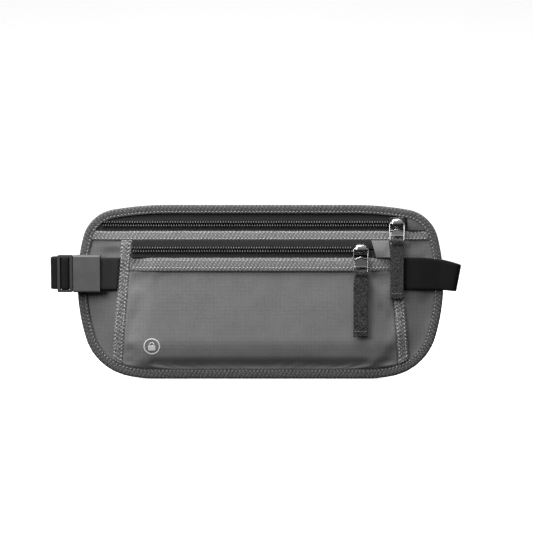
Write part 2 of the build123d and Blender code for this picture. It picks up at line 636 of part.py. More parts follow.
def make_male():
    """Strap frame with two slots, and the middle tongue that guides it into the sleeve."""
    y0 = BUCKLE_Y - MALE_DEPTH / 2
    frame = block(MALE_LEFT, MALE_RIGHT, y0, MALE_BACK, BUCKLE_LOW, BUCKLE_HIGH)
    frame = fillet(frame.edges().filter_by(Axis.Y), MALE_CORNER)
    low = BUCKLE_LOW + MALE_RAIL
    high = BUCKLE_HIGH - MALE_RAIL
    outer_end = MALE_LEFT + MALE_BAR + MALE_SLOT
    frame -= block(MALE_LEFT + MALE_BAR, outer_end, y0 - 1, MALE_BACK + 1, low, high)
    frame -= block(outer_end + MALE_BAR, MALE_RIGHT - MALE_BAR, y0 - 1, MALE_BACK + 1, low, high)
    middle_back = BUCKLE_Y + BAR_RADIUS
    frame -= block(outer_end - 0.1, outer_end + MALE_BAR + 0.1, y0 - 1, BAR_FRONT_Y, low, high)
    frame -= block(outer_end - 0.1, outer_end + MALE_BAR + 0.1, middle_back, MALE_BACK + 1, low, high)
    tongue = block(
        MALE_RIGHT - FUSE,
        MALE_RIGHT + PRONG_LENGTH - TONGUE_SHORT,
        BUCKLE_Y - TONGUE_THICKNESS / 2,
        BUCKLE_Y + TONGUE_THICKNESS / 2,
        BELT_Z - TONGUE_WIDTH / 2,
        BELT_Z + TONGUE_WIDTH / 2,
    )
    return frame + tongue


PRONG_ROOT_X = MALE_RIGHT + PRONG_ROOT_GAP
PRONG_PIVOT_Z = BUCKLE_HEIGHT / 2 - PRONG_INSET  # above or below the belt's centre line


def make_prong(side):
    """Spring arm whose outer side is the button seen in the side window; side is 1 above and -1 below."""
    edge = BUCKLE_HEIGHT / 2
    catch_x = MOUTH_X + SIDE_WINDOW_START + SIDE_WINDOW_LENGTH - 0.3
    button_x = MOUTH_X + SIDE_WINDOW_START + 0.4
    inner_z = PRONG_PIVOT_Z - PRONG_ARM / 2
    tip_x = MALE_RIGHT + PRONG_LENGTH
    outline = Polyline(
        (PRONG_ROOT_X, inner_z),
        (PRONG_ROOT_X, inner_z + PRONG_ARM),
        (MOUTH_X + 0.8, inner_z + PRONG_ARM + 0.6),
        (button_x + 0.8, edge - 0.4),
        (catch_x - 0.6, edge - 0.2),
        (catch_x, edge - 1.0),
        (catch_x, edge - BUCKLE_WALL - 0.7),
        (tip_x - 1.5, edge - BUCKLE_WALL - 1.6),
        (tip_x, edge - BUCKLE_WALL - 4.4),
        (tip_x - 2.5, edge - BUCKLE_WALL - 5.0),
        (MOUTH_X + 5.0, inner_z + 1.6),
        close=True,
    )
    flat = make_face(outline)
    if side < 0:
        flat = mirror(flat, about=Plane.XZ)
    solid = extrude(Plane.XZ * flat, amount=PRONG_DEPTH / 2, both=True)
    return Pos(0, BUCKLE_Y, BELT_Z) * solid


def make_anchor():
    """Doubled webbing from under the left seam tape, looped round the female half's bar."""
    seam_x = -(trim_x(BELT_Z - STRAP_WIDTH / 2) + TRIM_WIDTH / 2 + SEAM_GAP)
    inner = BAR_RADIUS + ANCHOR_CLEAR
    outer = inner + ANCHOR_LAYER
    ring = Pos(BAR_X, BUCKLE_Y)
    end_length = 1.0
    end_x = seam_x - end_length / 2
    slit = 0.1
    end = Pos(end_x, BUCKLE_Y) * Rectangle(end_length, 2 * ANCHOR_LAYER + slit)
    skin = make_hull((ring * Circle(outer)).edges() + end.edges())
    slit_end = Pos(end_x - ANCHOR_OPEN, BUCKLE_Y) * Rectangle(2 * slit, slit)
    gap = make_hull((ring * Circle(inner)).edges() + slit_end.edges())
    return Pos(0, 0, BELT_Z - STRAP_WIDTH / 2) * extrude(skin - gap, amount=STRAP_WIDTH)


# ---------------------------------------------------------------- printed mark
def make_mark():
    """A plain ring round a padlock, printed on the front pocket."""
    ring = Circle(MARK_RADIUS) - Circle(MARK_RADIUS - MARK_LINE)
    lock = Pos(0, -LOCK_DROP) * (RectangleRounded(LOCK_WIDTH, LOCK_HEIGHT, 0.6) - Circle(KEYHOLE_RADIUS))
    bow = Circle(SHACKLE_RADIUS) - Circle(SHACKLE_RADIUS - SHACKLE_LINE)
    shackle = Pos(0, SHACKLE_RISE) * bow & band_face(SHACKLE_RISE - 0.2, MARK_RADIUS)
    place = Pos(-HALF_WIDTH + MARK_INSET, MARK_RISE)
    face = place * (ring + lock + shackle)
    return follow(face, pocket_depth, -MARK_LIFT - MARK_THICKNESS, -MARK_LIFT)


# ---------------------------------------------------------------- all pieces
def all_pieces():
    pieces = make_panels()
    pieces["perimeter_binding"] = make_binding()
    pieces["upper_facing"], pieces["pocket_facing"] = make_facings()
    pieces["seam_tape_left"], pieces["seam_tape_right"] = make_trims()

    upper_window = INNER & band_face(FACING1_TOP, POUCH_HEIGHT)
    lower_window = pocket_face(FACING2_TOP, FACING1_BOTTOM, TRIM_WIDTH / 2)
    upper_tab = tab_outline(UPPER_TAB_INSET, 0, FACING1_TOP, POUCH_HEIGHT)
    lower_tab = tab_outline(LOWER_TAB_INSET, TAB_SLANT, FACING2_TOP, FACING1_BOTTOM)
    kinds = ("tape_top", "tape_bottom", "teeth_top", "teeth_bottom", "end_tab")
    for name, plane, window, tab in (
        ("upper", UPPER, upper_window, upper_tab),
        ("lower", LOWER, lower_window, lower_tab),
    ):
        for kind, solid in zip(kinds, make_zip(plane, window, tab)):
            pieces[f"{name}_zip_{kind}"] = solid

    upper_ribbon = (UPPER_RIBBON_WIDTH, UPPER_RIBBON_LENGTH, UPPER_RIBBON_LEAN)
    lower_ribbon = (LOWER_RIBBON_WIDTH, LOWER_RIBBON_LENGTH, LOWER_RIBBON_LEAN)
    for name, plane, length, lean, ribbon_sizes in (
        ("upper", UPPER, UPPER_PULL_LENGTH, UPPER_PULL_LEAN, upper_ribbon),
        ("lower", LOWER, LOWER_PULL_LENGTH, LOWER_PULL_LEAN, lower_ribbon),
    ):
        body, crown, pull, ribbon, pin, bar = make_pull_set(plane, length, lean, *ribbon_sizes)
        pieces[f"{name}_slider_body"] = body
        pieces[f"{name}_slider_crown"] = crown
        pieces[f"{name}_pull"] = pull
        pieces[f"{name}_pull_ribbon"] = ribbon
        print(name, "pull's pin at", pin - WAIST, "and ribbon's bar at", bar - WAIST)

    pieces["buckle_female"] = make_female()
    pieces["buckle_male"] = make_male()
    pieces["buckle_prong_upper"] = make_prong(1)
    pieces["buckle_prong_lower"] = make_prong(-1)
    print("prong roots at x", PRONG_ROOT_X, "y", BUCKLE_Y - WAIST.Y, "z", PRONG_PIVOT_Z, -PRONG_PIVOT_Z)

    pieces["anchor_strap"] = make_anchor()
    pieces["belt_strap"], pieces["belt_lead"], pieces["belt_tail_loop"] = make_belt()
    pieces["printed_mark"] = make_mark()
    return pieces


for node, shape in all_pieces().items():
    solids = [Pos(-WAIST) * solid for solid in shape.solids()]
    export_step(solids[0] if len(solids) == 1 else Compound(children=solids), f"parts/{node}.step")
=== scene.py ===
from math import atan, cos, pi, radians, sin, tan

import bmesh
import bpy
import numpy as np
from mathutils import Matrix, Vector


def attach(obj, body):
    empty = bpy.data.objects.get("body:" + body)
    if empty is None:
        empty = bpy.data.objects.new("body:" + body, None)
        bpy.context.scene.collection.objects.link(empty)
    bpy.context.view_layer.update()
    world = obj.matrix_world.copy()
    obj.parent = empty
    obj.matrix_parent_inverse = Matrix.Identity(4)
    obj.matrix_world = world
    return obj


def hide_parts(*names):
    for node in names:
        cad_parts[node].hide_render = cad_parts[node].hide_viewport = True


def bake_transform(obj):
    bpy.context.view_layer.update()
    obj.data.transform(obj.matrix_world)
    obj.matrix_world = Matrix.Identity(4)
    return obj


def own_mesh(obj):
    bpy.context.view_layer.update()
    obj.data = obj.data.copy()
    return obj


# Looks of the zipped waist pouch. Sizes are in millimetres until a mesh is made, and then in metres.
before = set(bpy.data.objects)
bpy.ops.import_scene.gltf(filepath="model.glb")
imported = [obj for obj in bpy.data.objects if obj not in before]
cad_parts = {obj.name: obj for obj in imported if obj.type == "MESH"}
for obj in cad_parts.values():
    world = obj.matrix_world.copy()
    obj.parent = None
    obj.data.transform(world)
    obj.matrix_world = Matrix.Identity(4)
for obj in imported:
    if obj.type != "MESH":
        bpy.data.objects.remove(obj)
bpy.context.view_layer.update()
MM = 0.001
WAIST = np.array([0.0, 6.2, 84.8])  # the frame's origin, seen from the middle of the pouch's bottom edge

# ---------------------------------------------------------------- sizes shared with the CAD model
HEIGHT = 139.0
BINDING = 7.4
BINDING_LIFT = 0.6
EDGE_HALF = 1.2
BULGE_RUN = 26.0
CORNERS = [  # across, up, radius
    (95.0, 0.0, 100.0), (132.3, 8.0, 44.0), (151.0, 73.5, 150.0), (136.0, 132.0, 30.0), (95.0, 139.0, 260.0),
]
FACING1 = (111.1, 118.4)
FACING2 = (86.8, 97.5)
TRIM_HALF = 4.3
UPPER_CHAIN = 123.6
LOWER_CHAIN = 103.6
UPPER_SLIDER = 107.8
LOWER_SLIDER = 78.9
BELT_Z = 84.8
STRAP_HALF = 12.7
PLATE_TOP = 3.75  # of a slider, in front of its chain's middle
HINGE_HEIGHT = 5.05
PULL_PLATE_SHARE = 0.42  # of the pull's length, above its pressed plate
CLOTH = 0.8
CLOTH_FRAMES = 20
SEAM = 0.05  # room left between pieces that are sewn edge to edge
RAISED = 0.04  # tapes lie this far in front of the cloth under them
PUCKER = 3.0  # pitch of the puckers that a row of stitches makes


# ---------------------------------------------------------------- outlines
def smooth(t):
    t = np.clip(t, 0.0, 1.0)
    return t * t * (3 - 2 * t)


def corner_rooms(points, radii, closed):
    """Tangent length of each rounded corner, reduced where two neighbours have no room."""
    count = len(points)
    tangents = np.zeros(count)
    turns = np.zeros(count)
    for i in range(count):
        if closed or 0 < i < count - 1:
            a = points[i] - points[i - 1]
            b = points[(i + 1) % count] - points[i]
            turns[i] = np.arctan2(a[0] * b[1] - a[1] * b[0], a @ b)
            tangents[i] = radii[i] * tan(abs(turns[i]) / 2)
    rooms = tangents.copy()
    for i in range(count):
        for j in (i - 1, (i + 1) % count):
            side = np.linalg.norm(points[i] - points[j])
            if tangents[i] > 0 and (closed or 0 <= j):
                rooms[i] = min(rooms[i], tangents[i] * 0.99 * side / (tangents[i] + tangents[j]))
    return rooms, turns


def rounded(points, radii, step, closed=False, fill=True):
    """Points along a polyline with rounded corners, with or without more points on its straight parts."""
    points = np.array(points, float)
    rooms, turns = corner_rooms(points, radii, closed)
    count = len(points)
    line = []
    ends = []
    for i in range(count):
        if not closed and i in (0, count - 1):
            arc = [points[i]]
        else:
            a = points[i] - points[i - 1]
            a = a / np.linalg.norm(a)
            left = np.array([-a[1], a[0]])
            sign = np.sign(turns[i]) or 1.0
            radius = rooms[i] / tan(abs(turns[i]) / 2) if abs(turns[i]) > 1e-6 else 0.0
            centre = points[i] - a * rooms[i] + left * sign * radius
            number = max(3, int(np.ceil(radius * abs(turns[i]) / step)))
            arc = []
            for k in range(number + 1):
                angle = turns[i] * k / number
                away = -left * sign * radius
                spun = [away[0] * cos(angle) - away[1] * sin(angle), away[0] * sin(angle) + away[1] * cos(angle)]
                arc.append(centre + spun)
        ends.append(arc)
    for i in range(count):
        line.extend(ends[i])
        if i < count - 1 or closed:
            after = ends[(i + 1) % count][0]
            gap = after - ends[i][-1]
            number = max(1, int(np.linalg.norm(gap) / step)) if fill else 1
            line.extend(ends[i][-1] + gap * k / number for k in range(1, number))
    return np.array(line)


RING = CORNERS + [(-x, z, r) for x, z, r in reversed(CORNERS)]
RING_POINTS = [(x, z) for x, z, r in RING]
RING_RADII = [r for x, z, r in RING]


def lengths(line):
    """Distance along a line at each of its points."""
    return np.concatenate([[0], np.cumsum(np.linalg.norm(np.diff(line, axis=0), axis=1))])


def even(line, count):
    """The same closed line with evenly spaced points."""
    line = np.vstack([line, line[:1]])
    run = lengths(line)
    places = np.linspace(0, run[-1], count, endpoint=False)
    return np.stack([np.interp(places, run, line[:, k]) for k in range(2)], axis=1)


def denser(line, pitch):
    """The same line with points added until none are two pitches apart."""
    out = [line[0]]
    for a, b in zip(line[:-1], line[1:]):
        parts = max(1, int(np.linalg.norm(b - a) / pitch))
        out.extend(a + (b - a) * k / parts for k in range(1, parts + 1))
    return np.array(out)


OUTER = rounded(RING_POINTS, RING_RADII, 0.6, closed=True)


def inside_line(inset, lift):
    """The pouch's outline this far inside its edge."""
    step_out = np.roll(OUTER, -1, axis=0) - np.roll(OUTER, 1, axis=0)
    step_out /= np.linalg.norm(step_out, axis=1)[:, None]
    inward = np.stack([-step_out[:, 1], step_out[:, 0]], axis=1)
    return OUTER + inward * inset + [0, lift]


def half_width(inset, lift):
    """Half width of the inset outline as a function of height."""
    line = inside_line(inset, lift)
    right = line[line[:, 0] > 0]
    order = np.argsort(right[:, 1], kind="stable")
    z = right[order, 1]
    x = right[order, 0]
    middle = HEIGHT / 2
    levels = np.unique(np.round(z, 3))
    widest = np.array([x[np.abs(z - level) < 0.0015].max() for level in levels])
    rising = levels < middle
    widest[rising] = np.maximum.accumulate(widest[rising])
    return lambda height: np.interp(height, levels, widest)


panel_half = half_width(1.0, 0)
inner_half = half_width(BINDING, BINDING_LIFT)
sewn_half = half_width(BINDING + SEAM, BINDING_LIFT)
SEWN_LOW = BINDING + SEAM + BINDING_LIFT
INNER_TOP = HEIGHT - BINDING + BINDING_LIFT


# ---------------------------------------------------------------- depth of the panels
TABLE_X = np.arange(-152, 152.1, 1.0)
TABLE_Z = np.arange(-6, 146.1, 1.0)


def edge_distance():
    """Distance from each table point to the outline, negative outside."""
    x, z = np.meshgrid(TABLE_X, TABLE_Z, indexing="ij")
    places = np.stack([x.ravel(), z.ravel()], axis=1)
    nearest = np.full(len(places), 1e9)
    for start in range(0, len(OUTER), 50):
        part = OUTER[start:start + 50]
        gap = np.linalg.norm(places[:, None, :] - part[None, :, :], axis=2)
        nearest = np.minimum(nearest, gap.min(axis=1))
    width = half_width(0, 0)(z.ravel())
    inside = (np.abs(x.ravel()) < width) & (z.ravel() > 0) & (z.ravel() < HEIGHT)
    return np.where(inside, nearest, -nearest).reshape(x.shape)


DISTANCE = edge_distance()


def four_points(table, i0, j0, fi, fj):
    """Weighted mean of the four table values round a place."""
    low = table[i0, j0] * (1 - fi) + table[i0 + 1, j0] * fi
    high = table[i0, j0 + 1] * (1 - fi) + table[i0 + 1, j0 + 1] * fi
    return low * (1 - fj) + high * fj


def lookup(table, x, z):
    """Bilinear reading of a table over the pouch."""
    i = np.clip(x - TABLE_X[0], 0, len(TABLE_X) - 1.001)
    j = np.clip(z - TABLE_Z[0], 0, len(TABLE_Z) - 1.001)
    i0 = i.astype(int)
    j0 = j.astype(int)
    return four_points(table, i0, j0, i - i0, j - j0)


def swell(x, z):
    return smooth((lookup(DISTANCE, x, z) - BINDING) / BULGE_RUN)


def trim_x(z):
    return 115.3 - 9.6 * z / FACING1[0]


def main_flat(x, z):
    return -EDGE_HALF - 4.5 * swell(x, z)


def back_flat(x, z):
    return EDGE_HALF + 5.0 * swell(x, z)


def main_pressed(x, z):
    """The main panel's front, pressed in behind the buckle and pulled towards the belt on the right."""
    left = np.exp(-((x + 126) / 15.0) ** 2 - ((z - BELT_Z - 3) / 15.0) ** 4)
    right = np.exp(-((x - 128) / 12.0) ** 2 - ((z - BELT_Z + 2) / 13.0) ** 4)
    crease = np.exp(-((x + 122) / 11.0) ** 2 - ((z - BELT_Z - 17) / 3.2) ** 2)
    return main_flat(x, z) + swell(x, z) * (4.0 * left + 1.8 * right + 1.3 * crease)


def pocket_flat(x, z):
    side = smooth((trim_x(z) - np.abs(x)) / 25.0)
    top = smooth((FACING1[0] + 8.0 - z) / 34.0)
    base = smooth((z - BINDING) / 12.0)
    return main_flat(x, z) - 0.9 - 5.5 * side * top * base


def noise(x, z, size, seed):
    """Smooth noise between -1 and 1, with features of about this size."""
    grid = np.random.default_rng(seed).uniform(-1, 1, (80, 80))
    i = np.asarray(x) / size + 30.37
    j = np.asarray(z) / size + 20.71
    i0 = np.clip(np.floor(i).astype(int), 0, 78)
    j0 = np.clip(np.floor(j).astype(int), 0, 78)
    return four_points(grid, i0, j0, smooth(i - i0), smooth(j - j0))


# ---------------------------------------------------------------- meshes
def mesh_object(name, verts, faces, uvs=None):
    """Object from millimetre vertices, with a coordinate layer in millimetres for the weave."""
    mesh = bpy.data.meshes.new(name)
    mesh.from_pydata(((np.asarray(verts) - WAIST) * MM).tolist(), [], faces)
    if uvs is not None:
        layer = mesh.uv_layers.new(name="weave")
        loops = np.zeros(len(mesh.loops), int)
        mesh.loops.foreach_get("vertex_index", loops)
        layer.data.foreach_set("uv", np.asarray(uvs, float)[loops].ravel())
    mesh.polygons.foreach_set("use_smooth", [True] * len(mesh.polygons))
    mesh.validate()
    obj = bpy.data.objects.new(name, mesh)
    bpy.context.scene.collection.objects.link(obj)
    return obj


def outward(obj):
    """Make all faces of closed shells look outwards."""
    work = bmesh.new()
    work.from_mesh(obj.data)
    bmesh.ops.recalc_face_normals(work, faces=work.faces)
    work.to_mesh(obj.data)
    work.free()
    return obj


def closed_grid(name, front, back, uvs):
    """Sheet between two grids of points, with a rim round its edge."""
    rows, cols = front.shape[:2]
    verts = np.concatenate([front.reshape(-1, 3), back.reshape(-1, 3)])
    number = np.arange(rows * cols).reshape(rows, cols)
    faces = []
    for i in range(rows - 1):
        for j in range(cols - 1):
            quad = (number[i, j], number[i, j + 1], number[i + 1, j + 1], number[i + 1, j])
            faces.append(tuple(int(v) for v in quad))
            faces.append(tuple(int(v) + rows * cols for v in reversed(quad)))
    rim = [(0, j) for j in range(cols)] + [(i, cols - 1) for i in range(1, rows)]
    rim += [(rows - 1, j) for j in range(cols - 2, -1, -1)] + [(i, 0) for i in range(rows - 2, 0, -1)]
    for k in range(len(rim)):
        a = int(number[rim[k]])
        b = int(number[rim[(k + 1) % len(rim)]])
        faces.append((b, a, a + rows * cols, b + rows * cols))
    both = np.concatenate([uvs.reshape(-1, 2)] * 2)
    return outward(mesh_object(name, verts, faces, both))


def sheet(name, x, front, back, z):
    """Closed sheet between two depths over the same places."""
    return closed_grid(name, at_depth(x, front, z), at_depth(x, back, z), np.stack([x, z], axis=-1))


def tube_faces(base, rings, sides, closed=False):
    """Faces between neighbouring rings of a tube, whose corners are numbered ring by ring from base."""
    faces = []
    for ring in range(rings if closed else rings - 1):
        here = base + ring * sides
        there = base + (ring + 1) % rings * sides
        for q in range(sides):
            nxt = (q + 1) % sides
            faces.append((here + q, here + nxt, there + nxt, there + q))
    return faces


def at_depth(x, y, z):
    return np.stack([x, y, z], axis=-1)


def across_rows(z0, z1, rows, half, cols, fine_ends=0.6):
    """Grid of places whose rows run from side to side, each as wide as the outline there."""
    t = np.linspace(0, 1, rows)
    z = z0 + (z1 - z0) * (t * (1 - fine_ends) + fine_ends * (0.5 - 0.5 * np.cos(pi * t)))
    s = np.linspace(-1, 1, cols)
    width = np.array([float(half(v)) for v in z])
    return s[None, :] * width[:, None], np.repeat(z[:, None], cols, axis=1)


# ---------------------------------------------------------------- cloth
def relaxed(name, x, y, z, push, cap):
    """Depth change of a sewn panel, in millimetres, from a short cloth simulation pinned at its seams."""
    rows, cols = x.shape
    number = np.arange(rows * cols).reshape(rows, cols)
    faces = [
        (int(number[i, j]), int(number[i, j + 1]), int(number[i + 1, j + 1]), int(number[i + 1, j]))
        for i in range(rows - 1) for j in range(cols - 1)
    ]
    cloth = mesh_object(name + "_cloth", at_depth(x, y, z).reshape(-1, 3), faces)
    seam = np.ones((rows, cols), bool)
    seam[1:-1, 1:-1] = False
    group = cloth.vertex_groups.new(name="seam")
    group.add([int(v) for v in number[seam]], 1.0, "REPLACE")
    bpy.context.view_layer.objects.active = cloth
    modifier = cloth.modifiers.new("Cloth", "CLOTH")
    settings = modifier.settings
    settings.quality = 6
    settings.mass = 0.15
    settings.tension_stiffness = 12
    settings.compression_stiffness = 12
    settings.shear_stiffness = 5
    settings.bending_stiffness = 0.05
    settings.vertex_group_mass = "seam"
    settings.shrink_min = -0.012
    settings.use_pressure = True
    settings.uniform_pressure_force = push
    settings.effector_weights.gravity = 0
    modifier.collision_settings.use_collision = False
    scene = bpy.context.scene
    for step in range(1, CLOTH_FRAMES + 1):
        scene.frame_set(step)
        bpy.context.view_layer.update()
    settled = cloth.evaluated_get(bpy.context.evaluated_depsgraph_get()).to_mesh()
    moved = np.zeros(len(settled.vertices) * 3)
    settled.vertices.foreach_get("co", moved)
    moved = moved.reshape(rows, cols, 3)[:, :, 1] / MM + WAIST[1] - y
    scene.frame_set(1)
    bpy.data.objects.remove(cloth, do_unlink=True)
    return cap * np.tanh(np.nan_to_num(moved) / cap)


def finer(coarse, rows, cols):
    """A coarse grid of values read at a finer grid's points, by smooth interpolation."""
    def along(values, count):
        old = np.linspace(0, 1, values.shape[0])
        new = np.linspace(0, 1, count)
        place = np.clip(new * (values.shape[0] - 1), 0, values.shape[0] - 1.0001)
        k = place.astype(int)
        f = (place - k)[:, None]
        slope = np.gradient(values, old, axis=0) * (old[1] - old[0])
        h00 = 2 * f ** 3 - 3 * f ** 2 + 1
        h10 = f ** 3 - 2 * f ** 2 + f
        h01 = 3 * f ** 2 - 2 * f ** 3
        h11 = f ** 3 - f ** 2
        return h00 * values[k] + h10 * slope[k] + h01 * values[k + 1] + h11 * slope[k + 1]
    return along(along(coarse, rows).T, cols).T


# ---------------------------------------------------------------- node materials
class Shade:
    """Small helper that builds one node material."""

    def __init__(self, name, rough, metal=0.0):
        self.mat = bpy.data.materials.new(name)
        self.mat.use_nodes = True
        self.tree = self.mat.node_tree
        self.out = self.tree.nodes["Principled BSDF"]
        self.out.inputs["Roughness"].default_value = rough
        self.out.inputs["Metallic"].default_value = metal

    def node(self, kind, **values):
        made = self.tree.nodes.new(kind)
        for key, value in values.items():
            setattr(made, key, value)
        return made

    def put(self, socket, value):
        if hasattr(value, "is_output"):
            self.tree.links.new(value, socket)
        else:
            socket.default_value = value

    def math(self, operation, a, b=0.0):
        made = self.node("ShaderNodeMath", operation=operation)
        self.put(made.inputs[0], a)
        self.put(made.inputs[1], b)
        return made.outputs[0]

    def times(self, a, b):
        return self.math("MULTIPLY", a, b)

    def plus(self, a, b):
        return self.math("ADD", a, b)

    def minus(self, a, b):
        return self.math("SUBTRACT", a, b)

    def weave(self):
        """Coordinates in millimetres: along and across the piece."""
        made = self.node("ShaderNodeUVMap", uv_map="weave")
        parts = self.node("ShaderNodeSeparateXYZ")
        self.put(parts.inputs[0], made.outputs[0])
        return parts.outputs[0], parts.outputs[1]

    def noise(self, scale, detail=2.0):
        place = self.node("ShaderNodeTexCoord").outputs["Object"]
        made = self.node("ShaderNodeTexNoise")
        self.put(made.inputs["Vector"], place)
        made.inputs["Scale"].default_value = scale
        made.inputs["Detail"].default_value = detail
        return made.outputs["Fac"]

    def wave(self, coordinate, pitch, shift=0.0):
        """0 to 1 and back over each pitch."""
        turned = self.times(coordinate, 2 * pi / pitch)
        if shift:
            turned = self.plus(turned, shift)
        return self.times(self.plus(self.math("SINE", turned), 1.0), 0.5)

    def line(self, coordinate, pitch, share):
        """1 on a thin line at each pitch and 0 between."""
        place = self.math("FRACT", self.math("DIVIDE", coordinate, pitch))
        return self.math("LESS_THAN", place, share)

    def colour(self, fac, dark, light):
        made = self.node("ShaderNodeMix", data_type="RGBA")
        self.put(made.inputs["Factor"], fac)
        made.inputs["A"].default_value = (*dark, 1)
        made.inputs["B"].default_value = (*light, 1)
        self.put(self.out.inputs["Base Color"], made.outputs["Result"])

    def bump(self, height, distance, strength=1.0):
        made = self.node("ShaderNodeBump")
        made.inputs["Strength"].default_value = strength
        made.inputs["Distance"].default_value = distance
        self.put(made.inputs["Height"], height)
        self.put(self.out.inputs["Normal"], made.outputs[0])

    def sheen(self, weight):
        self.out.inputs["Specular IOR Level"].default_value = 0.2
        self.out.inputs["Sheen Weight"].default_value = weight
        self.out.inputs["Sheen Roughness"].default_value = 0.4


def grey(value):
    """Grey with a trace of blue."""
    return (value, value, value * 1.01)


def ripstop(name, dark, light):
    m = Shade(name, 0.62)
    u, v = m.weave()
    grid = m.math("MAXIMUM", m.line(u, 3.1, 0.2), m.line(v, 3.1, 0.2))
    fine = m.times(m.wave(u, 0.62), m.wave(v, 0.62))
    fac = m.plus(m.times(m.noise(90), 0.45), m.times(fine, 0.1))
    fac = m.plus(fac, m.times(m.noise(900, 0), 0.35))
    fac = m.minus(fac, m.times(grid, 0.13))
    m.colour(fac, grey(dark), grey(light))
    m.bump(m.plus(fine, m.times(grid, 0.8)), 0.00006, 0.5)
    m.sheen(0.15)
    return m.mat


def grosgrain(name, dark, light, speckle=0.6):
    m = Shade(name, 0.75)
    u, v = m.weave()
    ribs = m.wave(u, 1.05)
    slant = m.wave(m.plus(u, m.times(v, 0.9)), 2.7)
    cross = m.wave(m.minus(u, m.times(v, 0.6)), 3.3)
    fac = m.plus(m.times(ribs, 0.15), m.times(m.times(slant, cross), 0.9))
    fac = m.plus(fac, m.times(m.minus(m.noise(850, 1), 0.42), speckle))
    m.colour(fac, grey(dark), grey(light))
    m.bump(m.plus(ribs, m.times(slant, 0.5)), 0.00012, 0.7)
    m.sheen(0.2)
    return m.mat


def webbing_look(name, dark, light, pitch):
    m = Shade(name, 0.7)
    u, v = m.weave()
    ribs = m.wave(v, pitch)
    picks = m.wave(u, 0.8)
    fac = m.plus(m.times(ribs, 0.35), m.times(picks, 0.3))
    fac = m.plus(fac, m.times(m.noise(900, 2), 0.35))
    m.colour(fac, grey(dark), grey(light))
    m.bump(m.plus(ribs, m.times(picks, 0.6)), 0.00012, 0.6)
    m.sheen(0.0)
    m.out.inputs["Specular IOR Level"].default_value = 0.12
    return m.mat


def ribbon_look():
    m = Shade("pull_ribbon_weave", 0.75)
    u, v = m.weave()
    dots = m.times(m.wave(u, 2.3), m.wave(v, 2.3))
    other = m.times(m.wave(u, 2.3, pi), m.wave(v, 2.3, pi))
    weave = m.math("POWER", m.plus(dots, other), 2.0)
    speckle = m.times(m.minus(m.noise(700, 1), 0.38), 1.5)
    fac = m.plus(m.times(weave, 0.5), speckle)
    m.colour(fac, grey(0.010), grey(0.118))
    m.bump(weave, 0.0002, 0.8)
    m.sheen(0.05)
    return m.mat


def tape_look():
    m = Shade("zip_tape_weave", 0.8)
    u, v = m.weave()
    lines = m.wave(v, 0.9)
    herring = m.wave(m.plus(u, m.times(m.math("PINGPONG", v, 1.2), 1.0)), 0.9)
    fac = m.plus(m.times(lines, 0.35), m.times(herring, 0.35))
    m.colour(m.plus(fac, m.times(m.noise(1200, 1), 0.2)), grey(0.010), grey(0.034))
    m.bump(m.plus(lines, herring), 0.0001, 0.6)
    m.sheen(0.05)
    return m.mat


def coil_look():
    """Nylon coil with a painted highlight along the crest of each row, where v is the distance from the chain's
    middle.
    """
    m = Shade("coil_nylon", 0.35)
    u, v = m.weave()
    # Painted highlight: paler colour on each row's crest, standing in for the glint of the lamps.
    painted_highlight = m.minus(1.0, m.times(m.math("ABSOLUTE", m.minus(v, 1.4)), 1.6))
    painted_highlight = m.math("MAXIMUM", painted_highlight, 0.0)
    m.colour(m.times(painted_highlight, m.plus(m.noise(90, 2), 0.3)), grey(0.002), grey(0.36))
    m.bump(m.noise(1800, 2), 0.00002, 0.4)
    return m.mat


def plain(name, dark, light, rough, scale, bump, metal=0.0, coat=0.0):
    m = Shade(name, rough, metal)
    m.colour(m.noise(scale, 3), grey(dark), grey(light))
    m.bump(m.noise(scale * 4, 2), bump, 0.4)
    m.out.inputs["Coat Weight"].default_value = coat
    return m.mat


LOOKS = {
    "ripstop": ripstop("ripstop_fabric", 0.133, 0.228),
    # The front pocket gets a lighter copy of the same ripstop: painted light, set against the main panel's shade.
    "ripstop_pocket_painted_light": ripstop("ripstop_pocket_painted_light", 0.158, 0.270),
    # A darker copy of the same ripstop: painted shade, worn by the upper zip's end tab.
    "ripstop_painted_shade": ripstop("ripstop_in_painted_shade", 0.060, 0.115),
    "grosgrain": grosgrain("grosgrain_tape", 0.11, 0.31, 0.9),
    "trim": grosgrain("grosgrain_seam_tape", 0.06, 0.38, 1.6),
    "edge": grosgrain("grosgrain_binding", 0.050, 0.165, 1.5),
    "tape": tape_look(),
    "coil": coil_look(),
    "webbing": webbing_look("elastic_webbing", 0.006, 0.017, 1.4),
    "anchor": webbing_look("anchor_webbing", 0.015, 0.042, 1.4),
    "ribbon": ribbon_look(),
    "film": plain("metallised_film", 0.55, 0.75, 0.35, 120, 0.0004, metal=1.0),
    "female": plain("buckle_nylon_grey", 0.074, 0.128, 0.45, 90, 0.00005),
    "male": plain("buckle_nylon_dark", 0.040, 0.056, 0.42, 500, 0.00005),
    "metal": plain("slider_nickel", 0.34, 0.46, 0.16, 200, 0.00002, metal=1.0),
    "dark_metal": plain("slider_dark_nickel", 0.06, 0.10, 0.25, 200, 0.00002, metal=1.0),
    "thread": plain("sewing_thread", 0.40, 0.58, 0.6, 2500, 0.00003),
    "thread_edge": plain("binding_thread", 0.26, 0.38, 0.6, 2500, 0.00003),
    "ribbon_thread": plain("ribbon_thread", 0.16, 0.24, 0.6, 2500, 0.00003),
    "print": plain("print_white_ink", 0.72, 0.80, 0.5, 700, 0.00002),
}


def dress(obj, look, body, slot, *nodes):
    """Material, body and replaced nodes of one piece; the slot argument is not used."""
    obj.data.materials.clear()
    obj.data.materials.append(LOOKS[look])
    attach(obj, body)
    if nodes:
        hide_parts(*nodes)
    return obj


# ---------------------------------------------------------------- panels
FINE = 1.6  # grid pitch of the panels
COARSE = 5.0  # and of their cloth simulation


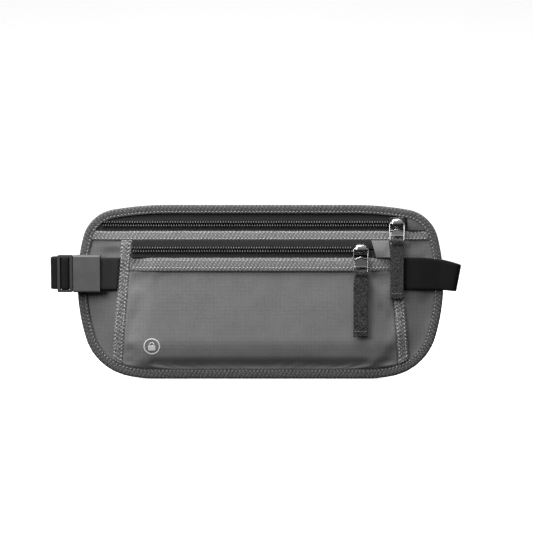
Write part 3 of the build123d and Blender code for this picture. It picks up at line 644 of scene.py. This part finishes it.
def panel(name, look, node, z0, z1, half, flat, thick, push, cap, wrinkle, seed):
    """A sewn fabric panel: the CAD depth, a cloth simulation's change, and soft wrinkles. Returns its surface."""
    widest = max(float(half(z)) for z in np.linspace(z0, z1, 40))
    few, many = ((int((z1 - z0) / pitch) + 1, int(2 * widest / pitch) + 1) for pitch in (COARSE, FINE))
    x, z = across_rows(z0, z1, few[0], half, few[1])
    change = relaxed(name, x, flat(x, z), z, push, cap)
    x, z = across_rows(z0, z1, many[0], half, many[1])
    t = np.linspace(0, 1, many[0])
    s = np.linspace(0, 1, many[1])
    hold = np.minimum(smooth(np.minimum(t, 1 - t) / 0.1)[:, None], smooth(np.minimum(s, 1 - s) / 0.05)[None, :])
    soft = wrinkle * (noise(x, z, 26, seed) * 0.5 + noise(x + z * 0.3, z * 0.5, 11, seed + 1) * 0.3)
    y = flat(x, z) + finer(change, *many) + soft * hold
    dress(sheet(name, x, y, y + thick, z), look, "pouch", "ripstop", node)
    return x, y, z


def pocket_half(z):
    return np.minimum(trim_x(z) - TRIM_HALF - SEAM, sewn_half(z))


panel("main_panel_cloth", "ripstop", "main_panel", 1.0, FACING1[1], panel_half, main_pressed,
      CLOTH, -1.0, 0.35, 0.25, 11)
# The pocket's cloth uses the lighter ripstop copy, which is painted light.
front_grid = panel("front_pocket_cloth", "ripstop_pocket_painted_light", "front_panel", SEWN_LOW, FACING2[1] - SEAM, pocket_half,
                   pocket_flat, CLOTH, -3.0, 1.2, 0.7, 21)
panel("back_panel_cloth", "ripstop", "back_panel", 1.0, HEIGHT - 1.0, panel_half, back_flat,
      -CLOTH, 1.0, 0.5, 0.4, 31)


def grid_reader(grid):
    """Depth of a panel's finished surface at any place on it."""
    gx, gy, gz = grid
    heights = gz[:, 0]
    widths = gx[:, -1]
    cols = gx.shape[1]

    def read(x, z):
        x = np.asarray(x, float)
        z = np.asarray(z, float)
        row = np.clip(np.interp(z, heights, np.arange(len(heights))), 0, len(heights) - 1.001)
        i = row.astype(int)
        width = np.interp(z, heights, widths)
        place = np.clip((x / width + 1) / 2 * (cols - 1), 0, cols - 1.001)
        j = place.astype(int)
        return four_points(gy.T, j, i, place - j, row - i)
    return read


front_depth = grid_reader(front_grid)


def lining_rows():
    z0 = 2.0
    x, z = across_rows(z0, 116.4, 40, panel_half, 70)
    y = back_flat(x, z) - 1.15 + 0.12 * noise(x, z, 14, 41)
    front = at_depth(x * 0.995, y - 0.15, z)
    back = at_depth(x * 0.995, y + 0.15, z)
    return closed_grid("shielding_film", front, back, np.stack([x, z], axis=-1))


dress(lining_rows(), "film", "pouch", "shielding", "shielding_lining")


# ---------------------------------------------------------------- stitches
def stitch_rows(name, rows, look, body="pouch", pitch=2.9, length=1.5, radius=0.46):
    """Small rounded threads along lines of points; each row is a line and its outward normals."""
    verts = []
    faces = []
    sides = 6
    rings = [(-0.5, 0.35, -0.45), (-0.42, 0.9, -0.1), (0.0, 1.0, 0.25), (0.42, 0.9, -0.1), (0.5, 0.35, -0.45)]
    for line, normals in rows:
        line = np.asarray(line, float)
        run = lengths(line)
        count = max(1, int(run[-1] / pitch))

        def at(place, values):
            return np.array([np.interp(place, run, values[:, a]) for a in range(3)])
        for k in range(count):
            centre = (k + 0.5) * run[-1] / count
            base = len(verts)
            for along, size, lift in rings:
                place = centre + along * length
                point = at(place, line)
                ahead = at(place + 0.2, line)
                behind = at(place - 0.2, line)
                normal = at(place, normals)
                tangent = (ahead - behind) / max(np.linalg.norm(ahead - behind), 1e-9)
                side = np.cross(tangent, normal)
                for q in range(sides):
                    angle = 2 * pi * q / sides
                    offset = side * cos(angle) + normal * sin(angle)
                    verts.append(point + normal * lift * radius + offset * radius * size)
            faces.extend(tube_faces(base, len(rings), sides))
            faces.append(tuple(base + q for q in reversed(range(sides))))
            last = base + (len(rings) - 1) * sides
            faces.append(tuple(last + q for q in range(sides)))
    obj = outward(mesh_object(name, verts, faces, np.zeros((len(verts), 2))))
    return dress(obj, look, body, None)


# ---------------------------------------------------------------- edge binding
def binding():
    """Tape folded round the whole edge, puckered along its stitch row."""
    places = np.linspace(0, len(OUTER), 960, endpoint=False)
    inner_even, outer_even = (
        np.stack([np.interp(places, np.arange(len(OUTER) + 1), np.append(line[:, k], line[0, k])) for k in range(2)],
                 axis=1)
        for line in (inside_line(BINDING, BINDING_LIFT), OUTER))
    step = np.linalg.norm(np.roll(outer_even, -1, axis=0) - outer_even, axis=1)
    run = np.concatenate([[0], np.cumsum(step)[:-1]])
    half = [(1.0, 1.5), (1.0, 1.95), (0.97, 2.15), (0.88, 2.14), (0.80, 1.98), (0.72, 2.16), (0.5, 2.34),
            (0.26, 2.3), (0.11, 1.95), (0.03, 1.25), (0.0, 0.5)]
    hollow = [(0.99, 1.32), (0.5, 1.4), (0.16, 1.3), (0.12, 0.5)]
    ring = [(f, -y) for f, y in half] + [(f, y) for f, y in reversed(half)]
    ring += hollow + [(f, -y) for f, y in reversed(hollow)]
    verts = []
    uvs = []
    pucker = 0.06 * np.cos(2 * pi * run / PUCKER)
    wave = 0.10 * noise(run * 0.3, run * 0, 4, 51)
    for f, y in ring:
        place = outer_even * (1 - f) + inner_even * f
        bump = pucker * np.exp(-((f - 0.80) / 0.16) ** 2) if abs(y) > 1.5 else 0 * run
        depth = y + np.sign(y) * (bump + (wave * 0.5 if abs(y) > 1.5 else 0))
        verts.append(at_depth(place[:, 0], depth, place[:, 1]))
        uvs.append(np.stack([run, np.full_like(run, f * BINDING + y)], axis=1))
    count = len(outer_even)
    size = len(ring)
    verts = np.stack(verts, axis=1).reshape(-1, 3)
    uvs = np.stack(uvs, axis=1).reshape(-1, 2)
    piece = dress(outward(mesh_object("edge_binding", verts, tube_faces(0, count, size, True), uvs)), "edge",
                  "pouch", "grosgrain", "perimeter_binding")
    for side, name in ((-1, "front"), (1, "back")):
        place = outer_even * 0.20 + inner_even * 0.80
        line = at_depth(place[:, 0], np.full(count, side * 2.02), place[:, 1])
        normals = np.tile([0.0, float(side), 0.0], (count, 1))
        stitch_rows(f"binding_stitches_{name}", [(line, normals)], "thread_edge")
    return piece


binding()


# ---------------------------------------------------------------- facings and seam tapes
def crowned(v, thick):
    """Height of a folded tape across its width: v runs from 0 to 1."""
    return thick * (1 - np.abs(2 * v - 1) ** 7 * 0.65)


def facing(name, span, half, depth, thick, cols, node, rows_at, seed):
    z0, z1 = span
    v = np.concatenate([[0, 0.03, 0.08], np.linspace(0.14, 0.86, 13), [0.92, 0.97, 1]])
    z = z0 + (z1 - z0) * v
    width = np.array([float(half(h)) for h in z])
    s = np.linspace(-1, 1, cols)
    x = s[None, :] * width[:, None]
    zz = np.repeat(z[:, None], cols, axis=1)
    base = depth(x, zz) - RAISED
    dip = sum(np.exp(-((zz - (z0 + r)) / 0.55) ** 2) for r in rows_at)
    pucker = 0.5 + 0.5 * np.cos(2 * pi * x / PUCKER)
    lift = crowned(v, thick)[:, None] - dip * (0.12 + 0.1 * (1 - pucker)) + 0.1 * noise(x, zz, 7, seed)
    piece = sheet(name, x, base - lift, base, zz)
    dress(piece, "grosgrain", "pouch", "grosgrain", node)
    lines = []
    for r in rows_at:
        height = z0 + r
        reach = float(half(height)) - 1.5
        lx = np.linspace(-reach, reach, cols)
        lz = np.full(cols, height)
        ly = depth(lx, lz) - RAISED - thick + 0.1
        lines.append((at_depth(lx, ly, lz), np.tile([0.0, -1.0, 0.0], (cols, 1))))
    stitch_rows(name + "_stitches", lines, "thread")
    return piece


def facing2_half(z):
    return trim_x(z) - TRIM_HALF - SEAM


facing("zip_facing_upper", FACING1, sewn_half, main_flat, 0.95, 340, "upper_facing", (1.3, 6.1), 61)
facing("pocket_facing_tape", FACING2, facing2_half, pocket_flat, 0.95, 280, "pocket_facing", (2.9, 8.7), 62)


def seam_tape(side):
    name = "seam_tape_cloth_" + ("left" if side < 0 else "right")
    cols = 17
    rows = 150
    c = np.concatenate([[-1, -0.95, -0.85], np.linspace(-0.72, 0.72, cols - 6), [0.85, 0.95, 1]])
    low_line = inside_line(BINDING + SEAM, BINDING_LIFT)
    low = low_line[(low_line[:, 1] < 40) & (low_line[:, 0] > 60)]
    order = np.argsort(low[:, 0])
    bottom_x = trim_x(9.0) + c * TRIM_HALF
    bottom = np.interp(bottom_x, low[order, 0], low[order, 1])
    t = np.linspace(0, 1, rows)
    z = bottom[None, :] + (FACING1[0] - SEAM - bottom[None, :]) * t[:, None]
    x = trim_x(z) + c[None, :] * TRIM_HALF
    base = main_flat(x, z) - RAISED
    dips = np.exp(-((np.abs(c) - 0.62) / 0.12) ** 2)[None, :]
    pucker = 0.5 + 0.5 * np.cos(2 * pi * z / PUCKER)
    thick = 1.75 * (1 - np.abs(c) ** 6 * 0.45)[None, :]
    lift = thick - dips * (0.2 + 0.12 * (1 - pucker)) + 0.16 * noise(x * 2, z, 5, 71 + side)
    uv = np.stack([z, x - trim_x(z)], axis=-1)
    front = at_depth(side * x, base - lift, z)
    back = at_depth(side * x, base, z)
    piece = closed_grid(name, front, back, uv)
    node = "seam_tape_left" if side < 0 else "seam_tape_right"
    dress(piece, "trim", "pouch", "grosgrain", node)
    lines = []
    for place in (-0.62, 0.62):
        lz = np.linspace(float(np.interp(place, c, bottom)) + 1.5, FACING1[0] - 1.5, 90)
        lx = trim_x(lz) + place * TRIM_HALF
        ly = main_flat(lx, lz) - RAISED - 1.5
        lines.append((at_depth(side * lx, ly, lz), np.tile([0.0, -1.0, 0.0], (90, 1))))
    stitch_rows(name + "_stitches", lines, "thread")


seam_tape(-1)
seam_tape(1)


# ---------------------------------------------------------------- zips
class Chain:
    """Plane of a zip's tapes, in the pouch's frame."""

    def __init__(self, flat, z):
        zero = np.zeros(1)
        self.z = z
        self.y = float(flat(zero, zero + z)[0])
        self.lean = atan(float(flat(zero, zero + z + 1)[0] - flat(zero, zero + z - 1)[0]) / 2)

    def at(self, x, u, h):
        """Point u up the tape from the chain's middle and h in front of the tape."""
        y = self.y + np.asarray(u) * sin(self.lean) - np.asarray(h) * cos(self.lean)
        z = self.z + np.asarray(u) * cos(self.lean) + np.asarray(h) * sin(self.lean)
        return x, y, z


UPPER = Chain(main_flat, UPPER_CHAIN)
LOWER = Chain(pocket_flat, LOWER_CHAIN)


def tuck(x, y, end):
    """Bring a tape's depth back to the edge's stack near the pouch's sides."""
    share = smooth((np.abs(x) - (end - 15)) / 15)
    return y * (1 - share) + np.maximum(y, -1.5) * share


def tape(name, chain, z0, z1, half, node, tucked):
    """One zip tape, from its sewn edge to the teeth."""
    rows = 12
    z = np.linspace(z0, z1, rows)
    width = np.array([float(half(v)) for v in z])
    cols = 200
    s = np.linspace(-1, 1, cols)
    x = s[None, :] * width[:, None]
    zz = np.repeat(z[:, None], cols, axis=1)
    y = chain.y + (zz - chain.z) * tan(chain.lean)
    y = y + 0.10 * noise(x, zz, 12, 81)
    if tucked:
        y = tuck(x, y, width[:, None])
    piece = sheet(name, x, y, y + 0.5, zz)
    dress(piece, "tape", "pouch", "zip_tape", node)
    open_up(piece)
    return piece


def open_up(piece):
    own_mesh(piece)


def teeth(name, chain, x0, x1, side, node, tucked):
    """One row of the coil: bent nylon loops side by side."""
    pitch = 2.0
    path = [(2.72, 0.25), (2.66, 1.1), (2.2, 1.85), (1.3, 2.1), (0.55, 2.0), (0.12, 1.6), (0.1, 0.9), (0.7, 0.45)]
    radius = 0.40
    sides = 6
    count = int((x1 - x0) / pitch)
    start = x0 + (0.25 if side > 0 else 0.25 + pitch / 2)
    verts = []
    spots = []
    faces = []
    points = np.array(path)
    for k in range(count):
        x = start + k * pitch
        if x > x1 - 0.3:
            break
        base = len(verts)
        for i, (u, h) in enumerate(points):
            ahead = points[min(i + 1, len(points) - 1)] - points[max(i - 1, 0)]
            ahead = ahead / np.linalg.norm(ahead)
            size = radius * (0.7 if i in (0, len(points) - 1) else 1.0)
            slant = 0.22 * (u - 1.4)
            for q in range(sides):
                angle = 2 * pi * q / sides
                du = -ahead[1] * sin(angle) * size
                dh = ahead[0] * sin(angle) * size
                px, py, pz = chain.at(x + slant + cos(angle) * size, side * (u + du), h + dh)
                verts.append((float(px), float(py), float(pz)))
                spots.append((x, u + du))
        faces.extend(tube_faces(base, len(points), sides))
        faces.append(tuple(base + q for q in range(sides)))
        faces.append(tuple(base + (len(points) - 1) * sides + q for q in range(sides)))
    verts = np.array(verts)
    if tucked:
        end = float(inner_half(chain.z))
        share = smooth((np.abs(verts[:, 0]) - (end - 15)) / 15)
        flat_y = chain.y + (verts[:, 2] - chain.z) * tan(chain.lean)
        goal = np.maximum(flat_y, -1.5)
        verts[:, 1] += (goal - flat_y) * share
    piece = outward(mesh_object(name, verts, faces, spots))
    dress(piece, "coil", "pouch", "zip_coil", node)
    open_up(piece)
    return piece


UPPER_END = UPPER_SLIDER + 3.05
LOWER_END = LOWER_SLIDER + 3.05
TAPE_GAP = 0.6  # from a chain's middle to each tape
for label, chain, low, high, half, slider_end, tucked in (
    ("upper", UPPER, FACING1[1] + SEAM, INNER_TOP - SEAM, inner_half, UPPER_END, True),
    ("lower", LOWER, FACING2[1] + SEAM, FACING1[0] - SEAM, facing2_half, LOWER_END, False),
):
    gap = TAPE_GAP * cos(chain.lean)
    tape(f"{label}_tape_top", chain, chain.z + gap, high, half, f"{label}_zip_tape_top", tucked)
    tape(f"{label}_tape_bottom", chain, low, chain.z - gap, half, f"{label}_zip_tape_bottom", tucked)
    left = -float(half(chain.z)) + 0.8
    teeth(f"{label}_coil_top", chain, left, slider_end, 1, f"{label}_zip_teeth_top", tucked)
    teeth(f"{label}_coil_bottom", chain, left, slider_end, -1, f"{label}_zip_teeth_bottom", tucked)


def end_tab(name, chain, z0, z1, left, right, node, seed, look):
    """Fabric sewn over a zip's closed end, with a soft fold."""
    rows = 22
    cols = 34
    v = np.linspace(0, 1, rows)
    z = z0 + (z1 - z0) * v
    x0 = np.array([float(left(h)) for h in z])
    x1 = np.array([float(right(h)) for h in z])
    s = np.linspace(0, 1, cols)
    x = x0[:, None] + (x1 - x0)[:, None] * s[None, :]
    zz = np.repeat(z[:, None], cols, axis=1)
    flat = chain.y + (zz - chain.z) * tan(chain.lean)
    puff = np.sin(pi * np.clip(v, 0, 1))[:, None] * (1 - 0.75 * s)[None, :]
    fold = 0.5 * np.exp(-(((x - x0[:, None]) - 5 - 0.5 * (zz - z0)) / 2.2) ** 2)
    y = flat - 0.15 - 1.4 * puff - fold * puff - 0.15 * noise(x, zz, 6, seed)
    if name.startswith("upper"):
        y = tuck(x, y, x1[:, None] + 3)
    piece = sheet(name, x, y - 0.5, y, zz)
    return dress(piece, look, "pouch", "ripstop", node)


# The upper end tab takes the darker ripstop copy, which is painted shade.
end_tab("upper_end_fabric", UPPER, FACING1[1] + SEAM, INNER_TOP - 0.1, lambda z: 116.5,
        lambda z: max(float(inner_half(z)) - SEAM, 117.2), "upper_zip_end_tab", 91, "ripstop_painted_shade")
end_tab("lower_end_fabric", LOWER, FACING2[1] + SEAM, FACING1[0] - SEAM,
        lambda z: 87.6 + 3.7 * (FACING1[0] - z) / (FACING1[0] - FACING2[1]),
        facing2_half, "lower_zip_end_tab", 92, "ripstop")


# ---------------------------------------------------------------- webbing
def webbing(name, path, side, half, thick, cols=15, wave=0.0, seed=0, shape=None):
    """Flat woven strap along a path of points; side is the direction across it."""
    path = np.asarray(path, float)
    count = len(path)
    half = np.broadcast_to(np.asarray(half, float), (count,))
    side = np.broadcast_to(np.asarray(side, float), (count, 3))
    tangent = np.gradient(path, axis=0)
    tangent /= np.linalg.norm(tangent, axis=1)[:, None]
    normal = np.cross(tangent, side)
    normal /= np.linalg.norm(normal, axis=1)[:, None]
    run = lengths(path)
    across = np.concatenate([[-1, -0.965, -0.9], np.linspace(-0.75, 0.75, cols - 6), [0.9, 0.965, 1]])
    body = np.array([0.35, 0.8, 1.0] + [1.0] * (cols - 6) + [1.0, 0.8, 0.35]) / 2
    fronts = []
    backs = []
    uvs = []
    for c, b in zip(across, body):
        ripple = wave * noise(run, run * 0 + c * 8, 9, 100 + seed)
        centre = path + side * (c * half)[:, None] + normal * ripple[:, None]
        fronts.append(centre + normal * (thick * b))
        backs.append(centre - normal * (thick * b))
        uvs.append(np.stack([run, np.full(count, c) * half], axis=1))
    front = np.stack(fronts, axis=1)
    back = np.stack(backs, axis=1)
    if shape is not None:
        front = shape(front)
        back = shape(back)
    return closed_grid(name, front, back, np.stack(uvs, axis=1))


def belt_path(points, radii):
    """Rounded line at the belt's height, with short steps round its turns and longer ones between."""
    line = denser(rounded(points, radii, 0.4, fill=False), 3.0)
    line = line[np.concatenate([[True], np.diff(lengths(line)) > 1e-4])]
    return at_depth(line[:, 0], line[:, 1], np.full(len(line), BELT_Z))


def to_trim(x, z, end):
    """Stretch a strap's last few millimetres to the slanted edge of the seam tape."""
    share = np.clip(1 - (x - end) / 4.0, 0, 1)
    return x + share * (trim_x(z) + TRIM_HALF - end)


def right_fold(points):
    """The belt droops a little towards its fold, which slants in at its foot."""
    x, y, z = points[..., 0], points[..., 1], points[..., 2]
    x = np.where(y < 0, to_trim(x, z, 113.4), x)
    v = (z - (BELT_Z - STRAP_HALF)) / (2 * STRAP_HALF)
    out = np.clip((x - 122) / 38, 0, 1)
    drop = out ** 2 * (2.0 + 4.4 * v)
    lean = 3.8 * (1 - v) * smooth((x - 140) / 20)
    return np.stack([x - lean, y, z - drop], axis=-1)


NEAR, MIDDLE, FAR = 7.25, 9.05, 10.85
UP = (0.0, 0.0, 1.0)
stored = [(113.4, -6.75), (126, -6.45), (142, -3.85), (159.25, -3.25), (159.25, NEAR), (-95, NEAR), (-95, MIDDLE),
          (89, MIDDLE)]
belt = webbing("belt_webbing", belt_path(stored, [0, 20, 20, 5.15, 5.15, 0.89, 0.89, 0]), UP, STRAP_HALF, 1.5,
               wave=0.12, seed=1, shape=right_fold)
dress(belt, "webbing", "pouch", "webbing", "belt_strap")

lead = [(89.05, MIDDLE), (95, MIDDLE), (95, FAR), (-166.2, FAR), (-166.2, -3.85), (-161.05, -3.85)]
belt_lead = webbing("belt_lead_webbing", belt_path(lead, [0, 0.89, 0.89, 4.5, 4.5, 0]), UP, STRAP_HALF, 1.5,
                    wave=0.1, seed=2)
belt_lead.data.materials.append(LOOKS["webbing"])
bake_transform(belt_lead)
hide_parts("belt_lead")

tail = [(-161, -3.85), (-156.7, -3.85), (-156.7, -9.45), (-151.8, -9.45), (-151.8, -2.05), (-164.4, -2.05),
        (-164.4, MIDDLE), (-104.4, MIDDLE)]
tail_loop = webbing("belt_tail_webbing", belt_path(tail, [0, 0.89, 0.89, 0.89, 0.89, 2.6, 2.6, 0]), UP,
                    STRAP_HALF, 1.5, seed=3)
dress(tail_loop, "webbing", "buckle_male_half", "webbing", "belt_tail_loop")


def anchor():
    """Doubled strap from under the left seam tape, round the buckle's bar."""
    bar_x, bar_y = -129.2, -7.4
    radius = 1.95
    angles = np.linspace(-pi / 2, -3 * pi / 2, 22)
    loop = np.stack([bar_x + radius * np.cos(angles), bar_y + radius * np.sin(angles)], axis=1)
    end = [(-113.9, bar_y - 0.62)]
    mid = [(-118.0, bar_y - 0.75), (-124.0, bar_y - 1.5)]
    other = [(x, 2 * bar_y - y) for x, y in reversed(mid)] + [(-113.9, bar_y + 0.62)]
    line = denser(np.array(end + mid + loop.tolist() + other), 1.0)
    path = at_depth(line[:, 0], line[:, 1], np.full(len(line), BELT_Z))

    def slanted(points):
        moved = -to_trim(-points[..., 0], points[..., 2], 113.9)
        return np.stack([moved, points[..., 1], points[..., 2]], axis=-1)
    return webbing("anchor_webbing", path, UP, STRAP_HALF - 0.1, 1.15, seed=4, shape=slanted)


dress(anchor(), "anchor", "pouch", "webbing", "anchor_strap")


# ---------------------------------------------------------------- pull ribbons
def ribbon(label, bar, width, length, lean, body, node):
    """Folded ribbon: two layers hanging from a loop round the pull's bar, gathered at the top, sewn at its end."""
    lean = radians(lean)
    loop = 1.38
    layer = 0.70
    down = np.array([0.0, sin(lean), -cos(lean)])
    out = np.array([0.0, -cos(lean), -sin(lean)])
    bar = np.array(bar)
    flat = layer / 2 + 0.02
    drops = np.concatenate([np.linspace(length, 4.0, 46), np.linspace(3.4, 1.4, 5)])
    path = []
    half = []

    def hang(drop, face):
        return bar + down * drop + face * out * (flat + (loop - flat) * smooth((4.5 - drop) / 3.6))

    for drop in drops:
        path.append(hang(drop, 1))
        half.append(width / 2 - (width / 2 - 4.5) * smooth((7.5 - drop) / 6.0))
    for angle in np.linspace(0.15, pi - 0.15, 11):
        path.append(bar + out * loop * cos(angle) - down * loop * sin(angle))
        half.append(4.5)
    for drop, wide in zip(reversed(drops), list(reversed(half[:len(drops)]))):
        path.append(hang(drop, -1))
        half.append(wide)
    piece = webbing(f"{label}_ribbon_webbing", np.array(path), (1.0, 0.0, 0.0), np.array(half), layer, cols=13,
                    wave=0.10, seed=5)
    dress(piece, "ribbon", body, "pull_ribbon", node)
    xs = np.linspace(-width / 2 + 0.8, width / 2 - 0.8, 12)
    across = np.stack([xs, xs * 0, xs * 0], axis=1)
    sewn = bar + down * (length - 4.2)
    lines = [(sewn + face * out * (flat + layer / 2 + 0.02) + across, np.tile(face * out, (12, 1)))
             for face in (1, -1)]
    stitch_rows(f"{label}_ribbon_stitches", lines, "ribbon_thread", body=body, pitch=2.2, length=1.7, radius=0.26)


ribbon("upper", (107.8, -10.3508, 110.7518), 10.4, 46.0, 0.5, "upper_ribbon", "upper_pull_ribbon")
ribbon("lower", (78.9, -16.6532, 86.3861), 11.4, 51.0, 2.0, "lower_ribbon", "lower_pull_ribbon")


# ---------------------------------------------------------------- printed mark
def mark():
    """A plain ring round a padlock, lying on the pocket's cloth."""
    cx, cz = -86.0, 27.0
    shapes = []

    def band(r0, r1, a0, a1, count, dz=0.0):
        angles = np.linspace(a0, a1, count)
        radii = np.linspace(r0, r1, 4)
        x = cx + radii[:, None] * np.cos(angles)[None, :]
        z = cz + dz + radii[:, None] * np.sin(angles)[None, :]
        shapes.append((x, z))

    band(5.6, 6.6, 0, 2 * pi, 73)
    band(1.3, 2.1, radians(-6), radians(186), 31, 1.4)
    s = np.linspace(-1, 1, 15)
    t = np.linspace(-1, 1, 11)
    inset = 1 - 0.12 * np.abs(t[:, None]) ** 8 + 0 * s[None, :]
    shapes.append((cx + 3.0 * s[None, :] * inset,
                   cz - 1.3 + 2.2 * t[:, None] * (1 - 0.1 * np.abs(s[None, :]) ** 8)))
    pieces = []
    for x, z in shapes:
        y = front_depth(x, z)
        pieces.append(sheet("mark_part", x, y - 0.16, y + 0.05, z))
    bpy.ops.object.select_all(action="DESELECT")
    for part in pieces:
        part.select_set(True)
    bpy.context.view_layer.objects.active = pieces[0]
    bpy.ops.object.join()
    pieces[0].name = "mark_print"
    return pieces[0]


dress(mark(), "print", "pouch", "print_white", "printed_mark")


# ---------------------------------------------------------------- hard pieces that the CAD model gives
def finish_node(node, look, edge, segments=3):
    """Material and rounded edges of a piece that keeps its CAD shape."""
    obj = bpy.data.objects[node]
    obj.data.materials.clear()
    obj.data.materials.append(LOOKS[look])
    bevel = obj.modifiers.new("edge", "BEVEL")
    bevel.width = edge * MM
    bevel.segments = segments
    bevel.limit_method = "ANGLE"
    bevel.angle_limit = radians(35)
    bevel.harden_normals = False


def crown(label, chain, x):
    """Domed bridge over the pull's pin, from one side of the slider's plate to the other."""
    rows = 25
    cols = 21
    angle = np.linspace(0, pi, rows)[:, None]
    t = np.linspace(-1, 1, cols)[None, :]
    waist = 1 - 0.30 * np.abs(t) ** 3
    shells = []
    for side, rise, ease in ((3.7, 3.4, 0.26), (2.55, 2.4, 0.10)):
        u = side * waist * np.sign(np.cos(angle)) * np.abs(np.cos(angle)) ** 0.8
        h = PLATE_TOP - 0.1 + rise * (1 - ease * t ** 2) * np.sin(angle) ** 0.75
        px, py, pz = chain.at(x + 4.3 * t + 0 * angle, u, h)
        shells.append(at_depth(px, py, pz))
    piece = closed_grid(f"{label}_crown_dome", shells[0], shells[1], np.zeros((rows, cols, 2)))
    return dress(piece, "metal", f"{label}_slider", "slider_metal", f"{label}_slider_crown")


def pull(label, chain, x, length, lean, body):
    """Bent wire loop round the crown, with a pressed plate across it above the ribbon's slot."""
    lean = radians(lean)
    wire = 0.68
    sides = 12

    def at(px, v, h):
        v = np.asarray(v, float)
        h = np.asarray(h, float)
        u = -v * cos(lean) - h * sin(lean)
        return chain.at(px, u, HINGE_HEIGHT - v * sin(lean) + h * cos(lean))

    foot = length - 0.7
    loop = rounded([(-5.8, 0), (5.8, 0), (5.42, foot), (-5.42, foot)], [1.7, 1.7, 1.3, 1.3], 0.35, closed=True)
    loop = even(loop, 150)
    ahead = np.roll(loop, -1, axis=0) - np.roll(loop, 1, axis=0)
    ahead /= np.linalg.norm(ahead, axis=1)[:, None]
    out = np.stack([ahead[:, 1], -ahead[:, 0]], axis=1)
    verts = []
    count = len(loop)
    for q in range(sides):
        turn = 2 * pi * q / sides
        spot = loop + out * (wire * 0.95 * cos(turn))
        px, py, pz = at(x + spot[:, 0], spot[:, 1], np.full(count, wire * sin(turn)))
        verts.append(at_depth(px, py, pz))
    verts = np.stack(verts, axis=1).reshape(-1, 3)
    faces = tube_faces(0, count, sides, True)
    wires = outward(mesh_object(f"{label}_pull_wire", verts, faces, np.zeros((len(verts), 2))))
    rows = 22
    cols = 25
    s = np.linspace(-1, 1, cols)[None, :]
    t = np.linspace(0, 1, rows)[:, None]
    top = PULL_PLATE_SHARE * length - 1.9 * (1 - np.abs(s)) ** 1.2
    low = length - 1.4 - 3.2
    v = top + (low - top) * t
    px = 5.15 * s * (1 - 0.02 * t) + 0 * v
    rim = np.exp(-((t * (low - top)) / 0.7) ** 2) + np.exp(-((1 - t) * (low - top) / 0.6) ** 2)
    dish = 0.42 + 0.16 * np.clip(rim, 0, 1) + 0.12 * np.cos(pi * s * 0.9)
    front = at_depth(*at(x + px, v, dish))
    back = at_depth(*at(x + px, v, -0.45 + 0 * v))
    plate = closed_grid(f"{label}_pull_plate", front, back, np.zeros((rows, cols, 2)))
    dress(plate, "metal", body, "slider_metal")
    return dress(wires, "metal", body, "slider_metal", f"{label}_pull")


for label, chain, place, length, lean in (
    ("upper", UPPER, UPPER_SLIDER, 15.0, -0.5),
    ("lower", LOWER, LOWER_SLIDER, 19.3, 5.0),
):
    finish_node(f"{label}_slider_body", "dark_metal", 0.15, 2)
    crown(label, chain, place)
    pull(label, chain, place, length, lean, f"{label}_pull")
finish_node("buckle_female", "female", 0.6, 4)
finish_node("buckle_male", "male", 0.45)
finish_node("buckle_prong_upper", "male", 0.3)
finish_node("buckle_prong_lower", "male", 0.3)


# ---------------------------------------------------------------- floor, light and camera
def backdrop():
    """Pale floor that curves up into a wall behind."""
    depth_line = [(-3000.0, 0.0), (1600.0, 0.0)]
    depth_line += [(1600 + 900 * sin(a), 900 - 900 * cos(a)) for a in np.linspace(0.1, pi / 2, 12)]
    depth_line.append((2500.0, 4000.0))
    verts = []
    faces = []
    for y, z in depth_line:
        verts.extend([(-4000.0, y, z), (4000.0, y, z)])
    for i in range(len(depth_line) - 1):
        faces.append((2 * i, 2 * i + 1, 2 * i + 3, 2 * i + 2))
    stage = mesh_object("studio_floor", verts, faces)
    look = bpy.data.materials.new("studio_paper")
    look.use_nodes = True
    shader = look.node_tree.nodes["Principled BSDF"]
    shader.inputs["Base Color"].default_value = (0.93, 0.93, 0.93, 1)
    shader.inputs["Roughness"].default_value = 0.9
    shader.inputs["Emission Color"].default_value = (1, 1, 1, 1)
    shader.inputs["Emission Strength"].default_value = 0.50
    stage.data.materials.append(look)
    stage.visible_diffuse = False
    stage.visible_glossy = False


def lamp(name, place, aim, size, power):
    data = bpy.data.lights.new(name, "AREA")
    data.shape = "RECTANGLE"
    data.size, data.size_y = size
    data.energy = power
    obj = bpy.data.objects.new(name, data)
    obj.location = place
    obj.rotation_euler = (Vector(aim) - Vector(place)).to_track_quat("-Z", "Y").to_euler()
    bpy.context.scene.collection.objects.link(obj)


backdrop()
lamp("top_softbox", (-0.18, -0.34, 1.05), (-0.02, 0.0, 0.0), (0.8, 0.5), 14.4)
lamp("key_softbox", (-0.88, -0.92, 0.60), (0.0, 0.0, 0.0), (0.6, 0.6), 11.9)
lamp("rear_softbox", (0.05, 0.34, 0.80), (0.0, -0.05, -0.08), (0.7, 0.3), 5)

world = bpy.data.worlds.new("studio")
bpy.context.scene.world = world
world.use_nodes = True
nodes = world.node_tree.nodes
links = world.node_tree.links
place = nodes.new("ShaderNodeTexCoord")
split = nodes.new("ShaderNodeSeparateXYZ")
ramp = nodes.new("ShaderNodeMapRange")
ramp.inputs["From Min"].default_value = 0.05
ramp.inputs["From Max"].default_value = 0.9
ramp.inputs["To Min"].default_value = 0.03
ramp.inputs["To Max"].default_value = 0.95
links.new(place.outputs["Generated"], split.inputs[0])
links.new(split.outputs[2], ramp.inputs["Value"])
links.new(ramp.outputs[0], nodes["Background"].inputs["Color"])
nodes["Background"].inputs["Strength"].default_value = 1.0

camera = bpy.data.objects.new("camera", bpy.data.cameras.new("camera"))
camera.data.lens = 100
camera.data.sensor_width = 36
camera.data.clip_end = 20
aim = Vector((0.0048, -0.0062, 0.0051))
tilt = radians(4)
reach = 1.178
camera.location = aim + Vector((0, -cos(tilt), sin(tilt))) * reach
camera.rotation_euler = (aim - camera.location).to_track_quat("-Z", "Y").to_euler()
bpy.context.scene.collection.objects.link(camera)
bpy.context.scene.camera = camera
bpy.context.scene.view_settings.view_transform = "Standard"
